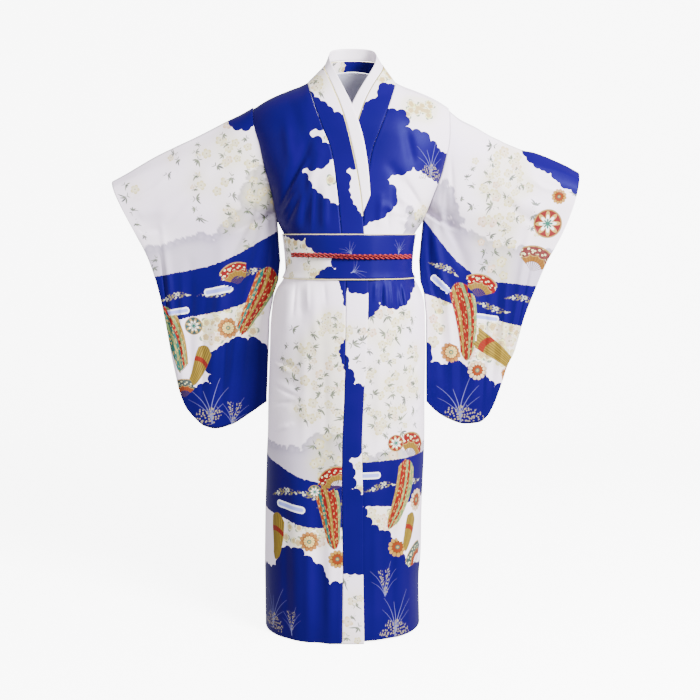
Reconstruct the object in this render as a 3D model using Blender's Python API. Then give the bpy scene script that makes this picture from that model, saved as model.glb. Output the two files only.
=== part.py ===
"""Yukata: a full-length wrapped robe with hanging sleeves, a neckband, a white edging strip and a belt.

Metres, +Z up, the front faces -Y and +X is the viewer's right. The origin is on the shoulder line at the
neck, where the wearer carries the robe. The cloth keeps the hollow form of a standing wearer.
"""

import bmesh
import bpy
import numpy as np

for old in list(bpy.data.objects):
    bpy.data.objects.remove(old, do_unlink=True)

# Walls and gaps
CLOTH = 0.0013
BAND = 0.0016
STRIP = 0.0011
BELT = 0.0030
SEAM_GAP = 0.0004
SEAM_REACH = 0.12
LAYER_RISE = 0.0027
PIPING = 0.0022
CORD_RADIUS = 0.0048

# Main levels and lengths
HEM_Z = -1.333
UNDER_HEM_RISE = 0.0045
ARMPIT_Z = -0.320
EDGING_END_Z = -0.3120
EDGING_SLANT = [1.8, 1.3, 0.7, 0.2, 0.0]
BELT_TOP = -0.3575
BELT_BOTTOM = -0.4590
RIDGE_ROUND = 0.140
SHOULDER_SEAM_DROP = 0.008
NECK_X = 0.004
ROUNDNESS = 2.3

# Rows and columns of the walls
UPPER_ROWS = 9
FRONT_COLUMNS = 11
NECK_COLUMNS = 11
SLEEVE_RINGS = 16
SLEEVE_FRONT = 17

# Heights of the rows from the hem to the armpit, close together round the belt
LEVELS = np.concatenate([
    np.linspace(HEM_Z, -0.670, 10),
    [-0.615, -0.570, -0.535, -0.510, -0.490, -0.474, -0.462, -0.451],
    [-0.441, -0.428, -0.408, -0.385, -0.368, -0.355, -0.340, ARMPIT_Z],
])

# Sections of the body: height, centre, half width, share of the full width, front depth, back depth
BODY = np.array([
    [0.100, 0.0025, 0.2355, 0.930, 0.1000, 0.098],
    [-0.055, 0.0025, 0.2355, 0.930, 0.1040, 0.098],
    [-0.095, 0.0043, 0.2333, 0.930, 0.1070, 0.100],
    [-0.150, 0.0100, 0.2235, 0.935, 0.1100, 0.103],
    [-0.212, 0.0098, 0.2088, 0.950, 0.1160, 0.105],
    [-0.260, 0.0065, 0.1935, 0.975, 0.1210, 0.106],
    [-0.320, 0.0005, 0.1775, 1.000, 0.1250, 0.105],
    [-0.362, -0.0025, 0.1570, 1.000, 0.1300, 0.102],
    [-0.440, -0.0030, 0.1505, 1.000, 0.1320, 0.100],
    [-0.465, -0.0030, 0.1600, 1.000, 0.1340, 0.104],
    [-0.490, -0.0045, 0.1750, 1.000, 0.1370, 0.112],
    [-0.520, -0.0040, 0.1845, 1.000, 0.1400, 0.122],
    [-0.585, -0.0055, 0.1895, 1.000, 0.1430, 0.129],
    [-0.650, -0.0063, 0.1907, 1.000, 0.1440, 0.132],
    [-0.766, -0.0091, 0.1928, 1.000, 0.1460, 0.134],
    [-0.830, -0.0095, 0.1937, 1.000, 0.1470, 0.136],
    [-0.910, -0.0120, 0.1950, 1.000, 0.1490, 0.138],
    [-1.040, -0.0165, 0.1948, 1.000, 0.1510, 0.140],
    [-1.140, -0.0180, 0.1953, 1.000, 0.1530, 0.143],
    [-1.220, -0.0205, 0.1930, 1.000, 0.1550, 0.145],
    [-1.333, -0.0190, 0.1940, 1.000, 0.1580, 0.148],
])

# Top of the shoulders: distance from the neck centre, height seen from behind, height seen from in front
RIDGE = np.array([
    [0.000, 0.075, 0.022],
    [0.030, 0.070, 0.021],
    [0.060, 0.052, 0.018],
    [0.080, 0.033, 0.014],
    [0.100, 0.011, 0.010],
    [0.125, -0.002, -0.002],
    [0.150, -0.011, -0.011],
    [0.200, -0.032, -0.032],
    [0.240, -0.056, -0.056],
    [0.300, -0.090, -0.090],
])

# Back neckline: distance from the neck centre, angle behind the shoulder ridge in degrees
NECKLINE = np.array([
    [0.0000, 40.2],
    [0.0300, 38.9],
    [0.0600, 32.6],
    [0.0880, 20.5],
    [0.0980, 14.6],
    [0.1015, 0.0],
    [0.1045, -19.6],
])

# Neckband in front on the overlapping side: seam height, seam x, free edge x and z, edging x and z
COLLAR = np.array([
    [-1.3330, -0.0192, 0.0336, -1.3340, 0.0600, -1.3340],
    [-1.1500, -0.0174, 0.0311, -1.1500, 0.0600, -1.1500],
    [-0.9870, -0.0195, 0.0305, -0.9870, 0.0600, -0.9870],
    [-0.8630, -0.0189, 0.0279, -0.8640, 0.0580, -0.8640],
    [-0.7440, -0.0141, 0.0322, -0.7430, 0.0600, -0.7430],
    [-0.6100, -0.0108, 0.0395, -0.6090, 0.0650, -0.6090],
    [-0.4740, -0.0094, 0.0425, -0.4740, 0.0680, -0.4740],
    [-0.3550, -0.0200, 0.0326, -0.3520, 0.0600, -0.3520],
    [-0.2960, -0.0256, 0.0285, -0.2890, 0.0488, -0.2830],
    [-0.2300, -0.0330, 0.0180, -0.2160, 0.0430, -0.2090],
    [-0.1650, -0.0430, 0.0035, -0.1470, 0.0320, -0.1380],
    [-0.0980, -0.0680, -0.0165, -0.0700, 0.0080, -0.0620],
    [-0.0450, -0.0870, -0.0400, -0.0120, -0.0205, -0.0030],
    [-0.0005, -0.1005, -0.0610, 0.0380, -0.0460, 0.0500],
])

# Neckband round the neck: distance from the neck centre, free edge and edging from the seam (x, y, z each)
STAND = np.array([
    [0.1045, 0.0395, 0.0060, 0.0380, 0.0545, 0.0080, 0.0500],
    [0.1015, 0.0275, 0.0000, 0.0425, 0.0400, 0.0000, 0.0680],
    [0.0980, 0.0220, -0.0030, 0.0450, 0.0320, -0.0050, 0.0760],
    [0.0700, 0.0120, -0.0020, 0.0370, 0.0180, -0.0060, 0.0670],
    [0.0350, 0.0040, -0.0010, 0.0300, 0.0060, -0.0060, 0.0585],
    [0.0000, 0.0000, -0.0015, 0.0270, 0.0000, -0.0070, 0.0560],
])

# How much wider the free edge and the edging stand on the viewer's right, by their COLLAR column
WIDE_NECK = {2: 0.012, 4: 0.007}

# Sleeve on the viewer's left: share from the armhole to the cuff, top x and z, lower end x and z
SLEEVE_LEFT = np.array([
    [0.00, -0.2330, -0.0560, -0.2085, -0.765],
    [0.10, -0.2620, -0.0720, -0.2524, -0.796],
    [0.20, -0.2962, -0.0880, -0.2982, -0.824],
    [0.30, -0.3300, -0.1050, -0.3375, -0.834],
    [0.38, -0.3580, -0.1190, -0.3640, -0.828],
    [0.46, -0.3833, -0.1310, -0.3900, -0.806],
    [0.53, -0.4080, -0.1420, -0.4115, -0.778],
    [0.60, -0.4330, -0.1535, -0.4250, -0.741],
    [0.67, -0.4580, -0.1650, -0.4330, -0.703],
    [0.76, -0.4817, -0.1770, -0.4450, -0.641],
    [0.84, -0.5150, -0.1960, -0.4545, -0.570],
    [0.92, -0.5480, -0.2150, -0.4615, -0.509],
    [1.00, -0.5815, -0.2325, -0.4665, -0.454],
])

# Sleeve on the viewer's right, with the same columns
SLEEVE_RIGHT = np.array([
    [0.00, 0.2385, -0.0620, 0.1905, -0.766],
    [0.10, 0.2660, -0.0830, 0.2140, -0.790],
    [0.20, 0.3028, -0.1010, 0.2480, -0.811],
    [0.30, 0.3400, -0.1220, 0.2875, -0.823],
    [0.38, 0.3620, -0.1320, 0.3214, -0.820],
    [0.46, 0.3786, -0.1400, 0.3439, -0.804],
    [0.53, 0.4010, -0.1490, 0.3603, -0.774],
    [0.60, 0.4226, -0.1570, 0.3765, -0.729],
    [0.67, 0.4450, -0.1610, 0.3925, -0.678],
    [0.76, 0.4700, -0.1690, 0.4085, -0.644],
    [0.84, 0.4950, -0.1790, 0.4297, -0.566],
    [0.92, 0.5270, -0.1930, 0.4455, -0.516],
    [1.00, 0.5600, -0.2105, 0.4505, -0.473],
])

# Outward bow of the cuff line of each sleeve
CUFF_BOW = {-1: 0.004, 1: 0.017}

# Sleeve thickness from top to bottom: share of the way down, half thickness at the armhole, at the cuff
SLEEVE_DEPTH = np.array([
    [0.00, 0.0080, 0.0080],
    [0.06, 0.0400, 0.0260],
    [0.15, 0.0540, 0.0360],
    [0.25, 0.0500, 0.0380],
    [0.38, 0.0200, 0.0360],
    [0.60, 0.0150, 0.0300],
    [0.90, 0.0130, 0.0200],
    [1.00, 0.0075, 0.0075],
])

# Folds of the body: side, start x and z, end x and z, half width, rise
BODY_FOLDS = [
    ["front", -0.165, -0.290, -0.085, -0.120, 0.013, -0.0060],
    ["front", -0.135, -0.345, -0.070, -0.170, 0.012, 0.0050],
    ["front", -0.110, -0.350, -0.100, -0.210, 0.010, -0.0045],
    ["front", -0.060, -0.350, -0.058, -0.250, 0.009, 0.0035],
    ["front", 0.172, -0.300, 0.095, -0.200, 0.013, -0.0050],
    ["front", 0.150, -0.340, 0.085, -0.290, 0.011, 0.0045],
    ["front", 0.120, -0.350, 0.105, -0.240, 0.009, -0.0040],
    ["front", 0.070, -0.350, 0.072, -0.270, 0.009, 0.0030],
    ["front", -0.145, -0.465, -0.155, -0.600, 0.016, 0.0060],
    ["front", -0.118, -0.465, -0.112, -0.560, 0.009, -0.0035],
    ["front", -0.085, -0.465, -0.080, -0.620, 0.014, 0.0040],
    ["front", 0.085, -0.465, 0.088, -0.575, 0.008, 0.0040],
    ["front", 0.108, -0.465, 0.115, -0.560, 0.007, -0.0040],
    ["front", 0.128, -0.465, 0.140, -0.590, 0.009, 0.0050],
    ["front", -0.190, -0.690, -0.115, -0.720, 0.012, -0.0030],
    ["front", -0.190, -0.800, -0.130, -0.760, 0.013, 0.0030],
    ["front", -0.130, -0.900, -0.120, -1.330, 0.030, 0.0050],
    ["front", -0.070, -0.850, -0.075, -1.330, 0.024, -0.0040],
    ["front", 0.090, -0.820, 0.080, -1.330, 0.026, -0.0040],
    ["front", 0.125, -0.700, 0.120, -1.330, 0.024, 0.0050],
    ["back", -0.120, -0.345, -0.150, -0.150, 0.014, 0.0060],
    ["back", -0.070, -0.345, -0.090, -0.180, 0.012, -0.0045],
    ["back", 0.060, -0.345, 0.085, -0.170, 0.012, 0.0050],
    ["back", 0.125, -0.345, 0.155, -0.160, 0.013, -0.0050],
    ["back", 0.005, -0.345, 0.000, -0.220, 0.010, -0.0030],
    ["back", -0.130, -0.465, -0.145, -0.640, 0.014, 0.0060],
    ["back", -0.090, -0.465, -0.095, -0.600, 0.010, -0.0040],
    ["back", -0.045, -0.465, -0.040, -0.660, 0.012, 0.0040],
    ["back", 0.050, -0.465, 0.060, -0.620, 0.011, 0.0045],
    ["back", 0.100, -0.465, 0.110, -0.580, 0.009, -0.0040],
    ["back", 0.135, -0.465, 0.145, -0.650, 0.013, 0.0050],
    ["back", -0.110, -0.820, -0.120, -1.330, 0.028, 0.0060],
    ["back", -0.040, -0.760, -0.050, -1.330, 0.026, -0.0045],
    ["back", 0.030, -0.900, 0.025, -1.330, 0.026, 0.0050],
    ["back", 0.095, -0.800, 0.100, -1.330, 0.028, -0.0045],
    ["back", 0.150, -0.900, 0.140, -1.330, 0.022, 0.0045],
]

# Folds of a sleeve: side, start share across and down, end share across and down, half width, rise
SLEEVE_FOLDS = [
    ["front", 0.02, 0.22, 0.30, 0.48, 0.030, -0.0060],
    ["front", 0.04, 0.32, 0.20, 0.62, 0.026, 0.0050],
    ["front", 0.10, 0.50, 0.16, 0.97, 0.030, -0.0045],
    ["front", 0.30, 0.40, 0.34, 0.97, 0.036, 0.0060],
    ["front", 0.50, 0.45, 0.48, 0.96, 0.030, -0.0045],
    ["front", 0.70, 0.35, 0.64, 0.95, 0.036, 0.0050],
    ["front", 0.25, 0.10, 0.85, 0.30, 0.032, 0.0040],
    ["back", 0.05, 0.25, 0.28, 0.60, 0.030, 0.0055],
    ["back", 0.20, 0.40, 0.22, 0.97, 0.030, -0.0045],
    ["back", 0.42, 0.40, 0.40, 0.96, 0.036, 0.0055],
    ["back", 0.64, 0.40, 0.58, 0.95, 0.030, -0.0045],
    ["back", 0.80, 0.30, 0.76, 0.90, 0.036, 0.0045],
]


def smooth(x, table, column):
    """Value of a table's column at x by cubic pieces with no overshoot; x is the first column."""
    xs = table[:, 0]
    ys = table[:, column]
    if xs[0] > xs[-1]:
        xs = xs[::-1]
        ys = ys[::-1]
    step = np.diff(xs)
    rise = np.diff(ys) / step
    slope = np.zeros(len(xs))
    same = rise[1:] * rise[:-1] > 0
    mean = 2 * rise[1:] * rise[:-1] / np.where(same, rise[1:] + rise[:-1], 1)
    slope[1:-1] = np.where(same, mean, 0)
    slope[0] = rise[0]
    slope[-1] = rise[-1]
    x = np.clip(x, xs[0], xs[-1])
    i = np.clip(np.searchsorted(xs, x) - 1, 0, len(xs) - 2)
    t = (x - xs[i]) / step[i]
    a = ys[i] * (1 + 2 * t) * (1 - t) ** 2 + slope[i] * step[i] * t * (1 - t) ** 2
    b = ys[i + 1] * t * t * (3 - 2 * t) - slope[i + 1] * step[i] * t * t * (1 - t)
    return a + b


def ease(t):
    """Soft step from 0 to 1."""
    t = np.clip(t, 0, 1)
    return t * t * (3 - 2 * t)


def fold_rise(folds, side, x, z):
    """Sum of the soft ridges and troughs of one side at (x, z)."""
    total = np.zeros(np.broadcast(x, z).shape)
    if folds is BODY_FOLDS:
        free = ease((np.abs(z - (BELT_TOP + BELT_BOTTOM) / 2) - 0.052) / 0.030)
    else:
        free = 1.0
    for name, x0, z0, x1, z1, width, rise in folds:
        if name != side:
            continue
        length = (x1 - x0) ** 2 + (z1 - z0) ** 2
        t = ((x - x0) * (x1 - x0) + (z - z0) * (z1 - z0)) / length
        near = np.clip(t, 0, 1)
        away = np.hypot(x - x0 - near * (x1 - x0), z - z0 - near * (z1 - z0))
        taper = 0.35 + 0.65 * ease(1.5 * (1 - np.abs(2 * near - 1)))
        total = total + rise * taper * np.exp(-((away / width) ** 2))
    return total * free


def side_angle(z):
    """Angle from the middle of a panel to its armhole or side seam."""
    return np.arcsin(smooth(z, BODY, 3) ** (ROUNDNESS / 2))


def across(angle, z):
    """x on the body at an angle from the middle of the front or back."""
    full = smooth(z, BODY, 2) / smooth(z, BODY, 3)
    return smooth(z, BODY, 1) + full * np.sign(angle) * np.abs(np.sin(angle)) ** (2 / ROUNDNESS)


def angle_of(x, z):
    """Angle from the middle at which the body has this x."""
    full = smooth(z, BODY, 2) / smooth(z, BODY, 3)
    share = np.clip((x - smooth(z, BODY, 1)) / full, -1, 1)
    return np.sign(share) * np.arcsin(np.abs(share) ** (ROUNDNESS / 2))


def rounding(x, z, column):
    """Depth share near the shoulder ridge, 0 on it and 1 from RIDGE_ROUND below it."""
    drop = smooth(np.abs(x - NECK_X), RIDGE, column) - z
    t = np.clip(drop / RIDGE_ROUND, 0, 1)
    return np.sqrt(t * (2 - t))


def front_y(x, z):
    """y of the front of the body."""
    spread = np.abs(np.cos(angle_of(x, z))) ** (2 / ROUNDNESS)
    rise = fold_rise(BODY_FOLDS, "front", x, z) * spread ** 0.5
    return -(smooth(z, BODY, 4) * spread + rise) * rounding(x, z, 2)


def back_y(x, z):
    """y of the back of the body."""
    spread = np.abs(np.cos(angle_of(x, z))) ** (2 / ROUNDNESS)
    rise = fold_rise(BODY_FOLDS, "back", x, z) * spread ** 0.5
    return (smooth(z, BODY, 5) * spread + rise) * rounding(x, z, 1)


def seam_x(z, side):
    """x of the seam between a front panel and the neckband; side is -1 on the overlapping panel."""
    left = smooth(z, COLLAR, 1)
    return left if side < 0 else 2 * NECK_X - left


def layer(x, z):
    """How far the overlapping panel and band stand off the layer under them."""
    inner = ease((x - seam_x(z, -1) + 0.060) / 0.030)
    return LAYER_RISE * inner * ease((0.0 - z) / 0.06)


def normals(grid, closed):
    """Unit normals of a grid of points."""
    if closed:
        ring = np.concatenate([grid[:, -1:], grid, grid[:, :1]], axis=1)
        u = (ring[:, 2:] - ring[:, :-2]) / 2
    else:
        u = np.gradient(grid, axis=1)
    v = np.gradient(grid, axis=0)
    n = np.cross(u, v)
    return n / np.maximum(np.linalg.norm(n, axis=2, keepdims=True), 1e-12)


def wall(name, grid, thick, colour, closed=False, flip=False, rough=0.45):
    """A closed wall: the grid is its outer skin, and the inner skin lies the thickness inside it."""
    n = normals(grid, closed) * (-1 if flip else 1)
    rows, columns = grid.shape[:2]
    points = np.concatenate([grid.reshape(-1, 3), (grid - n * thick).reshape(-1, 3)])
    inner = rows * columns
    faces = []
    last = columns if closed else columns - 1
    for r in range(rows - 1):
        for c in range(last):
            d = (c + 1) % columns
            a = [r * columns + c, r * columns + d, (r + 1) * columns + d, (r + 1) * columns + c]
            faces.append(a)
            faces.append([inner + i for i in reversed(a)])
    for c in range(last):
        d = (c + 1) % columns
        faces.append([c, inner + c, inner + d, d])
        top = (rows - 1) * columns
        faces.append([top + c, top + d, inner + top + d, inner + top + c])
    if not closed:
        for r in range(rows - 1):
            a = r * columns
            b = a + columns
            faces.append([a, b, inner + b, inner + a])
            a += columns - 1
            b += columns - 1
            faces.append([a, inner + a, inner + b, b])
    return solid(name, points, faces, colour, rough)


def tube(name, path, radius, sides, colour, rough=0.45):
    """A round cord along a path, with flat ends."""
    along = np.gradient(path, axis=0)
    along /= np.linalg.norm(along, axis=1, keepdims=True)
    up = np.array([0.0, 0.0, 1.0])
    out = np.cross(up, along)
    out /= np.linalg.norm(out, axis=1, keepdims=True)
    rise = np.cross(along, out)
    turn = np.linspace(0, 2 * np.pi, sides, endpoint=False)
    ring = out[:, None] * np.cos(turn)[None, :, None] + rise[:, None] * np.sin(turn)[None, :, None]
    points = (path[:, None] + radius * ring).reshape(-1, 3)
    faces = [list(range(sides)), list(range(len(points) - sides, len(points)))]
    for r in range(len(path) - 1):
        for c in range(sides):
            d = (c + 1) % sides
            faces.append([r * sides + c, r * sides + d, (r + 1) * sides + d, (r + 1) * sides + c])
    return solid(name, points, faces, colour, rough)


def solid(name, points, faces, colour, rough):
    """One named mesh object with its own material and faces outward."""
    mesh = bpy.data.meshes.new(name)
    mesh.from_pydata([tuple(p) for p in points], [], faces)
    body = bmesh.new()
    body.from_mesh(mesh)
    bmesh.ops.recalc_face_normals(body, faces=body.faces)
    body.to_mesh(mesh)
    body.free()
    obj = bpy.data.objects.new(name, mesh)
    bpy.context.scene.collection.objects.link(obj)
    material = bpy.data.materials.new(name)
    material.use_nodes = True
    shader = material.node_tree.nodes["Principled BSDF"]
    shader.inputs["Base Color"].default_value = (*colour, 1)
    shader.inputs["Roughness"].default_value = rough
    mesh.materials.append(material)
    return obj


def upper_path(x, share, column, end):
    """Height and signed depth share along the way from the armpit level over the shoulder, to an end angle.

    The way goes straight up to RIDGE_ROUND below the ridge and then round it by an angle that falls from
    90 degrees to `end`; share 0 is the armpit level and share 1 the end.
    """
    top = smooth(np.abs(x - NECK_X), RIDGE, column)
    start = top - RIDGE_ROUND
    straight = np.maximum(start - ARMPIT_Z, 0)
    first = np.arccos(np.clip(1 - (top - np.maximum(start, ARMPIT_Z)) / RIDGE_ROUND, -1, 1))
    length = straight + RIDGE_ROUND * (first - end)
    way = share * length
    angle = first - np.maximum(way - straight, 0) / RIDGE_ROUND
    z = np.where(way < straight, ARMPIT_Z + way, top - RIDGE_ROUND * (1 - np.cos(angle)))
    return z, angle


def front_panel(side, rise):
    """Grid of one front panel from its side to its neckband seam, and from hem to shoulder seam.

    Column share 0 is the side and 1 the neckband seam; the upper rows follow upper_path.
    """
    seam_angle = np.arccos(1 - (SHOULDER_SEAM_DROP + SEAM_GAP) / RIDGE_ROUND)
    share = np.linspace(0, 1, FRONT_COLUMNS + 1)[None]
    low = LEVELS[:, None] + rise * ease((-1.0 - LEVELS[:, None]) / 0.33)
    high = np.linspace(0, 1, UPPER_ROWS + 1)[1:, None]
    z = np.repeat(low, FRONT_COLUMNS + 1, axis=1)
    top = np.full((UPPER_ROWS, FRONT_COLUMNS + 1), -0.15)
    for _ in range(30):
        x = panel_x(side, share, top)
        top, _angle = upper_path(x, high, 2, seam_angle)
    z = np.concatenate([z, top])
    x = panel_x(side, share, z)
    grid = np.stack([x, front_y(x, z), z], axis=2)
    if side < 0:
        n = normals(grid, False)
        n *= -np.sign(n[:, :, 1:2])
        grid = grid + n * layer(x, z)[:, :, None]
    return grid


def panel_x(side, share, z):
    """x across a front panel: equal steps of angle from the side to the neckband seam."""
    angle = side_angle(z)
    edge = side * (angle - SEAM_GAP / SEAM_REACH)
    inner = angle_of(seam_x(z, side), z)
    return across(edge + (inner - edge) * share, z)


def back_panel():
    """Grid of the back from side to side, its shoulders carried over the ridge to the front seam."""
    seam_angle = np.arccos(1 - SHOULDER_SEAM_DROP / RIDGE_ROUND)
    share = np.linspace(0, 1, FRONT_COLUMNS + 1)[:-1]
    sides = []
    for side in (-1, 1):
        top = np.full(FRONT_COLUMNS, -0.05)
        for _ in range(30):
            x = panel_x(side, share, top)
            top = smooth(np.abs(x - NECK_X), RIDGE, 2) - SHOULDER_SEAM_DROP - SEAM_GAP
        sides.append(angle_of(x, top) / side_angle(top))
    half = np.linspace(-1, 1, NECK_COLUMNS)
    reach = np.array([0.1044, 0.1015, 0.0980, 0.074, 0.038, 0.0])
    x = NECK_X + np.interp(half, np.linspace(-1, 1, 11), np.concatenate([-reach, reach[:-1][::-1]]))
    middle = angle_of(x, np.full(NECK_COLUMNS, 0.0)) / side_angle(0.0)
    u = np.concatenate([sides[0], middle, sides[1][::-1]])[None]
    z = np.repeat(LEVELS[:, None], u.shape[1], axis=1)
    lower = back_points(u, z)
    high = np.linspace(0, 1, UPPER_ROWS + 4)[1:, None]
    top = np.full((UPPER_ROWS + 3, u.shape[1]), -0.10)
    for _ in range(40):
        x = back_x(u, top)
        reach = np.abs(x - NECK_X)
        end = np.radians(smooth(reach, NECKLINE, 1))
        end = np.where(reach >= NECKLINE[-1, 0], -seam_angle, end)
        top, angle = upper_path(x, high, 1, end)
    spread = np.abs(np.cos(angle_of(x, top))) ** (2 / ROUNDNESS)
    rise = fold_rise(BODY_FOLDS, "back", x, top) * spread ** 0.5
    behind = (smooth(top, BODY, 5) * spread + rise) * np.sin(angle)
    before = smooth(top, BODY, 4) * spread * np.sin(angle)
    upper = np.stack([x, np.where(angle > 0, behind, before), top], axis=2)
    return np.concatenate([lower, upper])


def back_x(u, z):
    """x across the back at a share u of the side angle."""
    return across(u * (side_angle(z) - SEAM_GAP / SEAM_REACH), z)


def back_points(u, z):
    """Points of the back at a share u of the side angle."""
    x = back_x(u, z)
    return np.stack([x, back_y(x, z), z], axis=2)


def finer(seam, side):
    """Seam points of a front panel with one more between each two above the armpit."""
    out = [seam[0]]
    for a, b in zip(seam[:-1], seam[1:]):
        if a[2] >= ARMPIT_Z - 0.001:
            z = np.array([(a[2] + b[2]) / 2])
            x = seam_x(z, side)
            out.append(np.array([x[0], front_y(x, z)[0], z[0]]))
        out.append(b)
    return np.array(out)


def ribbon_front(seam, side):
    """Free edge and edging points of the neckband beside the seam points of a front panel."""
    z = seam[:, 2]
    out = []
    for column in (2, 4):
        ex = smooth(z, COLLAR, column)
        ez = smooth(z, COLLAR, column + 1)
        if side > 0:
            ex = 2 * NECK_X - ex + WIDE_NECK[column] * ease((ez + 0.03) / 0.07)
        stand = seam[:, 1] + smooth(np.full(len(z), 0.1045), STAND[::-1], 2 if column == 2 else 5)
        settle = ease((-0.018 - ez) / 0.025)
        ey = front_y(ex, np.minimum(ez, -0.018)) * settle + stand * (1 - settle)
        out.append(np.stack([ex, ey, ez], axis=1))
    return out


def ribbon_back(seam):
    """Free edge and edging points of the neckband beside the back neckline."""
    reach = np.abs(seam[:, 0] - NECK_X)
    away = np.sign(seam[:, 0] - NECK_X)
    out = []
    for column in (1, 4):
        dx = smooth(reach, STAND, column) * -away
        dx = dx + WIDE_NECK[2 * (column // 3) + 2] * (away > 0) * ease((reach - 0.05) / 0.05)
        dy = smooth(reach, STAND, column + 1)
        dz = smooth(reach, STAND, column + 2)
        out.append(seam + np.stack([dx, dy, dz], axis=1))
    return out


def even_out(points, passes):
    """Soften a line of points, ends kept."""
    for _ in range(passes):
        points[1:-1] = 0.25 * points[:-2] + 0.5 * points[1:-1] + 0.25 * points[2:]
    return points


def collar_lines(over, under, back):
    """Seam, free edge and edging lines of the neckband from one hem round the neck to the other."""
    neck = slice(FRONT_COLUMNS, FRONT_COLUMNS + NECK_COLUMNS)
    left = finer(over[:, -1], -1)
    right = finer(under[:, -1], 1)
    nape = back[-1, neck]
    e_left, w_left = ribbon_front(left, -1)
    e_right, w_right = ribbon_front(right, 1)
    e_nape, w_nape = ribbon_back(nape)
    seam = np.concatenate([left[:-1], nape, right[-2::-1]])
    edge = np.concatenate([e_left[:-1], e_nape, e_right[-2::-1]])
    strip = np.concatenate([w_left[:-1], w_nape, w_right[-2::-1]])
    first = len(left) - 8
    last = len(seam) - len(right) + 8
    edge[first:last] = even_out(edge[first:last].copy(), 2)
    strip[first:last] = even_out(strip[first:last].copy(), 2)
    return seam, edge, strip, len(left) - 1


def ribbon(a, b, start, end, columns):
    """Grid between two lines, from a share to a share of the way across."""
    share = np.linspace(0, 1, columns)[None, :, None]
    across_way = b - a
    width = np.linalg.norm(across_way, axis=1, keepdims=True)
    first = a + across_way / width * start
    final = b - across_way / width * end
    return first[:, None] + (final - first)[:, None] * share


def settle_on_front(grid, lift):
    """Grid with every point below the neck laid on the front surface, then raised along its normals."""
    x, y, z = grid[:, :, 0], grid[:, :, 1], grid[:, :, 2]
    front = ease((-0.018 - z) / 0.025) * (y < 0.0)
    y = y + (front_y(x, np.minimum(z, -0.018)) - y) * front
    grid = np.stack([x, y, z], axis=2)
    n = normals(grid, False)
    middle = np.array([NECK_X, 0.0, 0.0])
    outward = grid - middle
    outward[:, :, 2] = 0
    n *= np.sign(np.sum(n * outward, axis=2, keepdims=True))
    return grid + n * lift


def sleeve(side, table):
    """Rings of one sleeve from the armhole opening to the cuff, each a closed loop.

    A ring runs from the top fold down the front to the lower end and back up behind. The first ring follows
    the armhole and, below it, the free inner edge that hangs just clear of the body.
    """
    ring_share = np.linspace(0, 1, SLEEVE_RINGS + 1) ** 0.95
    turn = np.linspace(0, np.pi, SLEEVE_FRONT + 1)
    down = 0.5 * (1 - np.cos(turn)) * 0.35 + 0.65 * turn / np.pi
    rows = []
    for s in ring_share:
        top = np.array([smooth(s, table, 1), smooth(s, table, 2)])
        low = np.array([smooth(s, table, 3), smooth(s, table, 4)])
        line = top + (low - top) * down[:, None]
        first_top = table[0, 1:3]
        first_low = table[0, 3:5]
        first = first_top + (first_low - first_top) * down[:, None]
        inner = inner_edge(side, first[:, 1])
        keep = (1 - s) ** 2.2
        line[:, 0] += (inner - first[:, 0]) * keep
        line[:, 0] += side * CUFF_BOW[side] * np.sin(np.pi * down) * s ** 3
        thick = smooth(down, SLEEVE_DEPTH, 1) * (1 - s) + smooth(down, SLEEVE_DEPTH, 2) * s
        bind = ease(1 - s / 0.25)
        arm = np.abs(front_y(inner, first[:, 1]))
        hole = (first[:, 1] > ARMPIT_Z + 0.012) & (down > 0.0)
        thick = np.where(hole, thick + (arm - thick) * bind, thick)
        thick = np.maximum(thick, 0.0075)
        rise_front = fold_rise(SLEEVE_FOLDS, "front", s, down)
        rise_back = fold_rise(SLEEVE_FOLDS, "back", s, down)
        fade = np.sin(np.clip(turn, 0, np.pi)) ** 0.5 * ease(s / 0.08)
        y_front = -np.maximum(thick + rise_front * fade, 0.006)
        y_back = np.maximum(thick * 0.9 + rise_back * fade, 0.006)
        centre = 0.004 + 0.010 * s
        front = np.stack([line[:, 0], y_front + centre, line[:, 1]], axis=1)
        behind = np.stack([line[:, 0], y_back + centre, line[:, 1]], axis=1)
        rows.append(ring_of(front, behind))
    return np.stack(rows)


def ring_of(front, behind):
    """One closed ring from the front line and the line behind, with rounded ends."""
    top = (front[0] + behind[0]) / 2 + np.array([0, 0, 0.0045])
    low = (front[-1] + behind[-1]) / 2 + np.array([0, 0, -0.0045])
    return np.concatenate([[top], front, [low], behind[::-1]])


def inner_edge(side, z):
    """x of the sleeve's inner edge: the armhole, then just clear of the body or of the obi's level."""
    at = np.maximum(z, ARMPIT_Z)
    hole = across(side * side_angle(at), at) + side * 0.0010
    reach = np.array([-0.320, -0.420, -0.470, -0.500, -0.560, -0.770])
    left = np.array([0.1790, 0.1722, 0.1775, 0.1885, 0.1995, 0.2085])
    right = np.array([0.1795, 0.1700, 0.1735, 0.1830, 0.1890, 0.1905])
    hang = np.interp(z, reach[::-1], (left if side < 0 else right)[::-1])
    return np.where(z > ARMPIT_Z, hole, side * hang)


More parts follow.
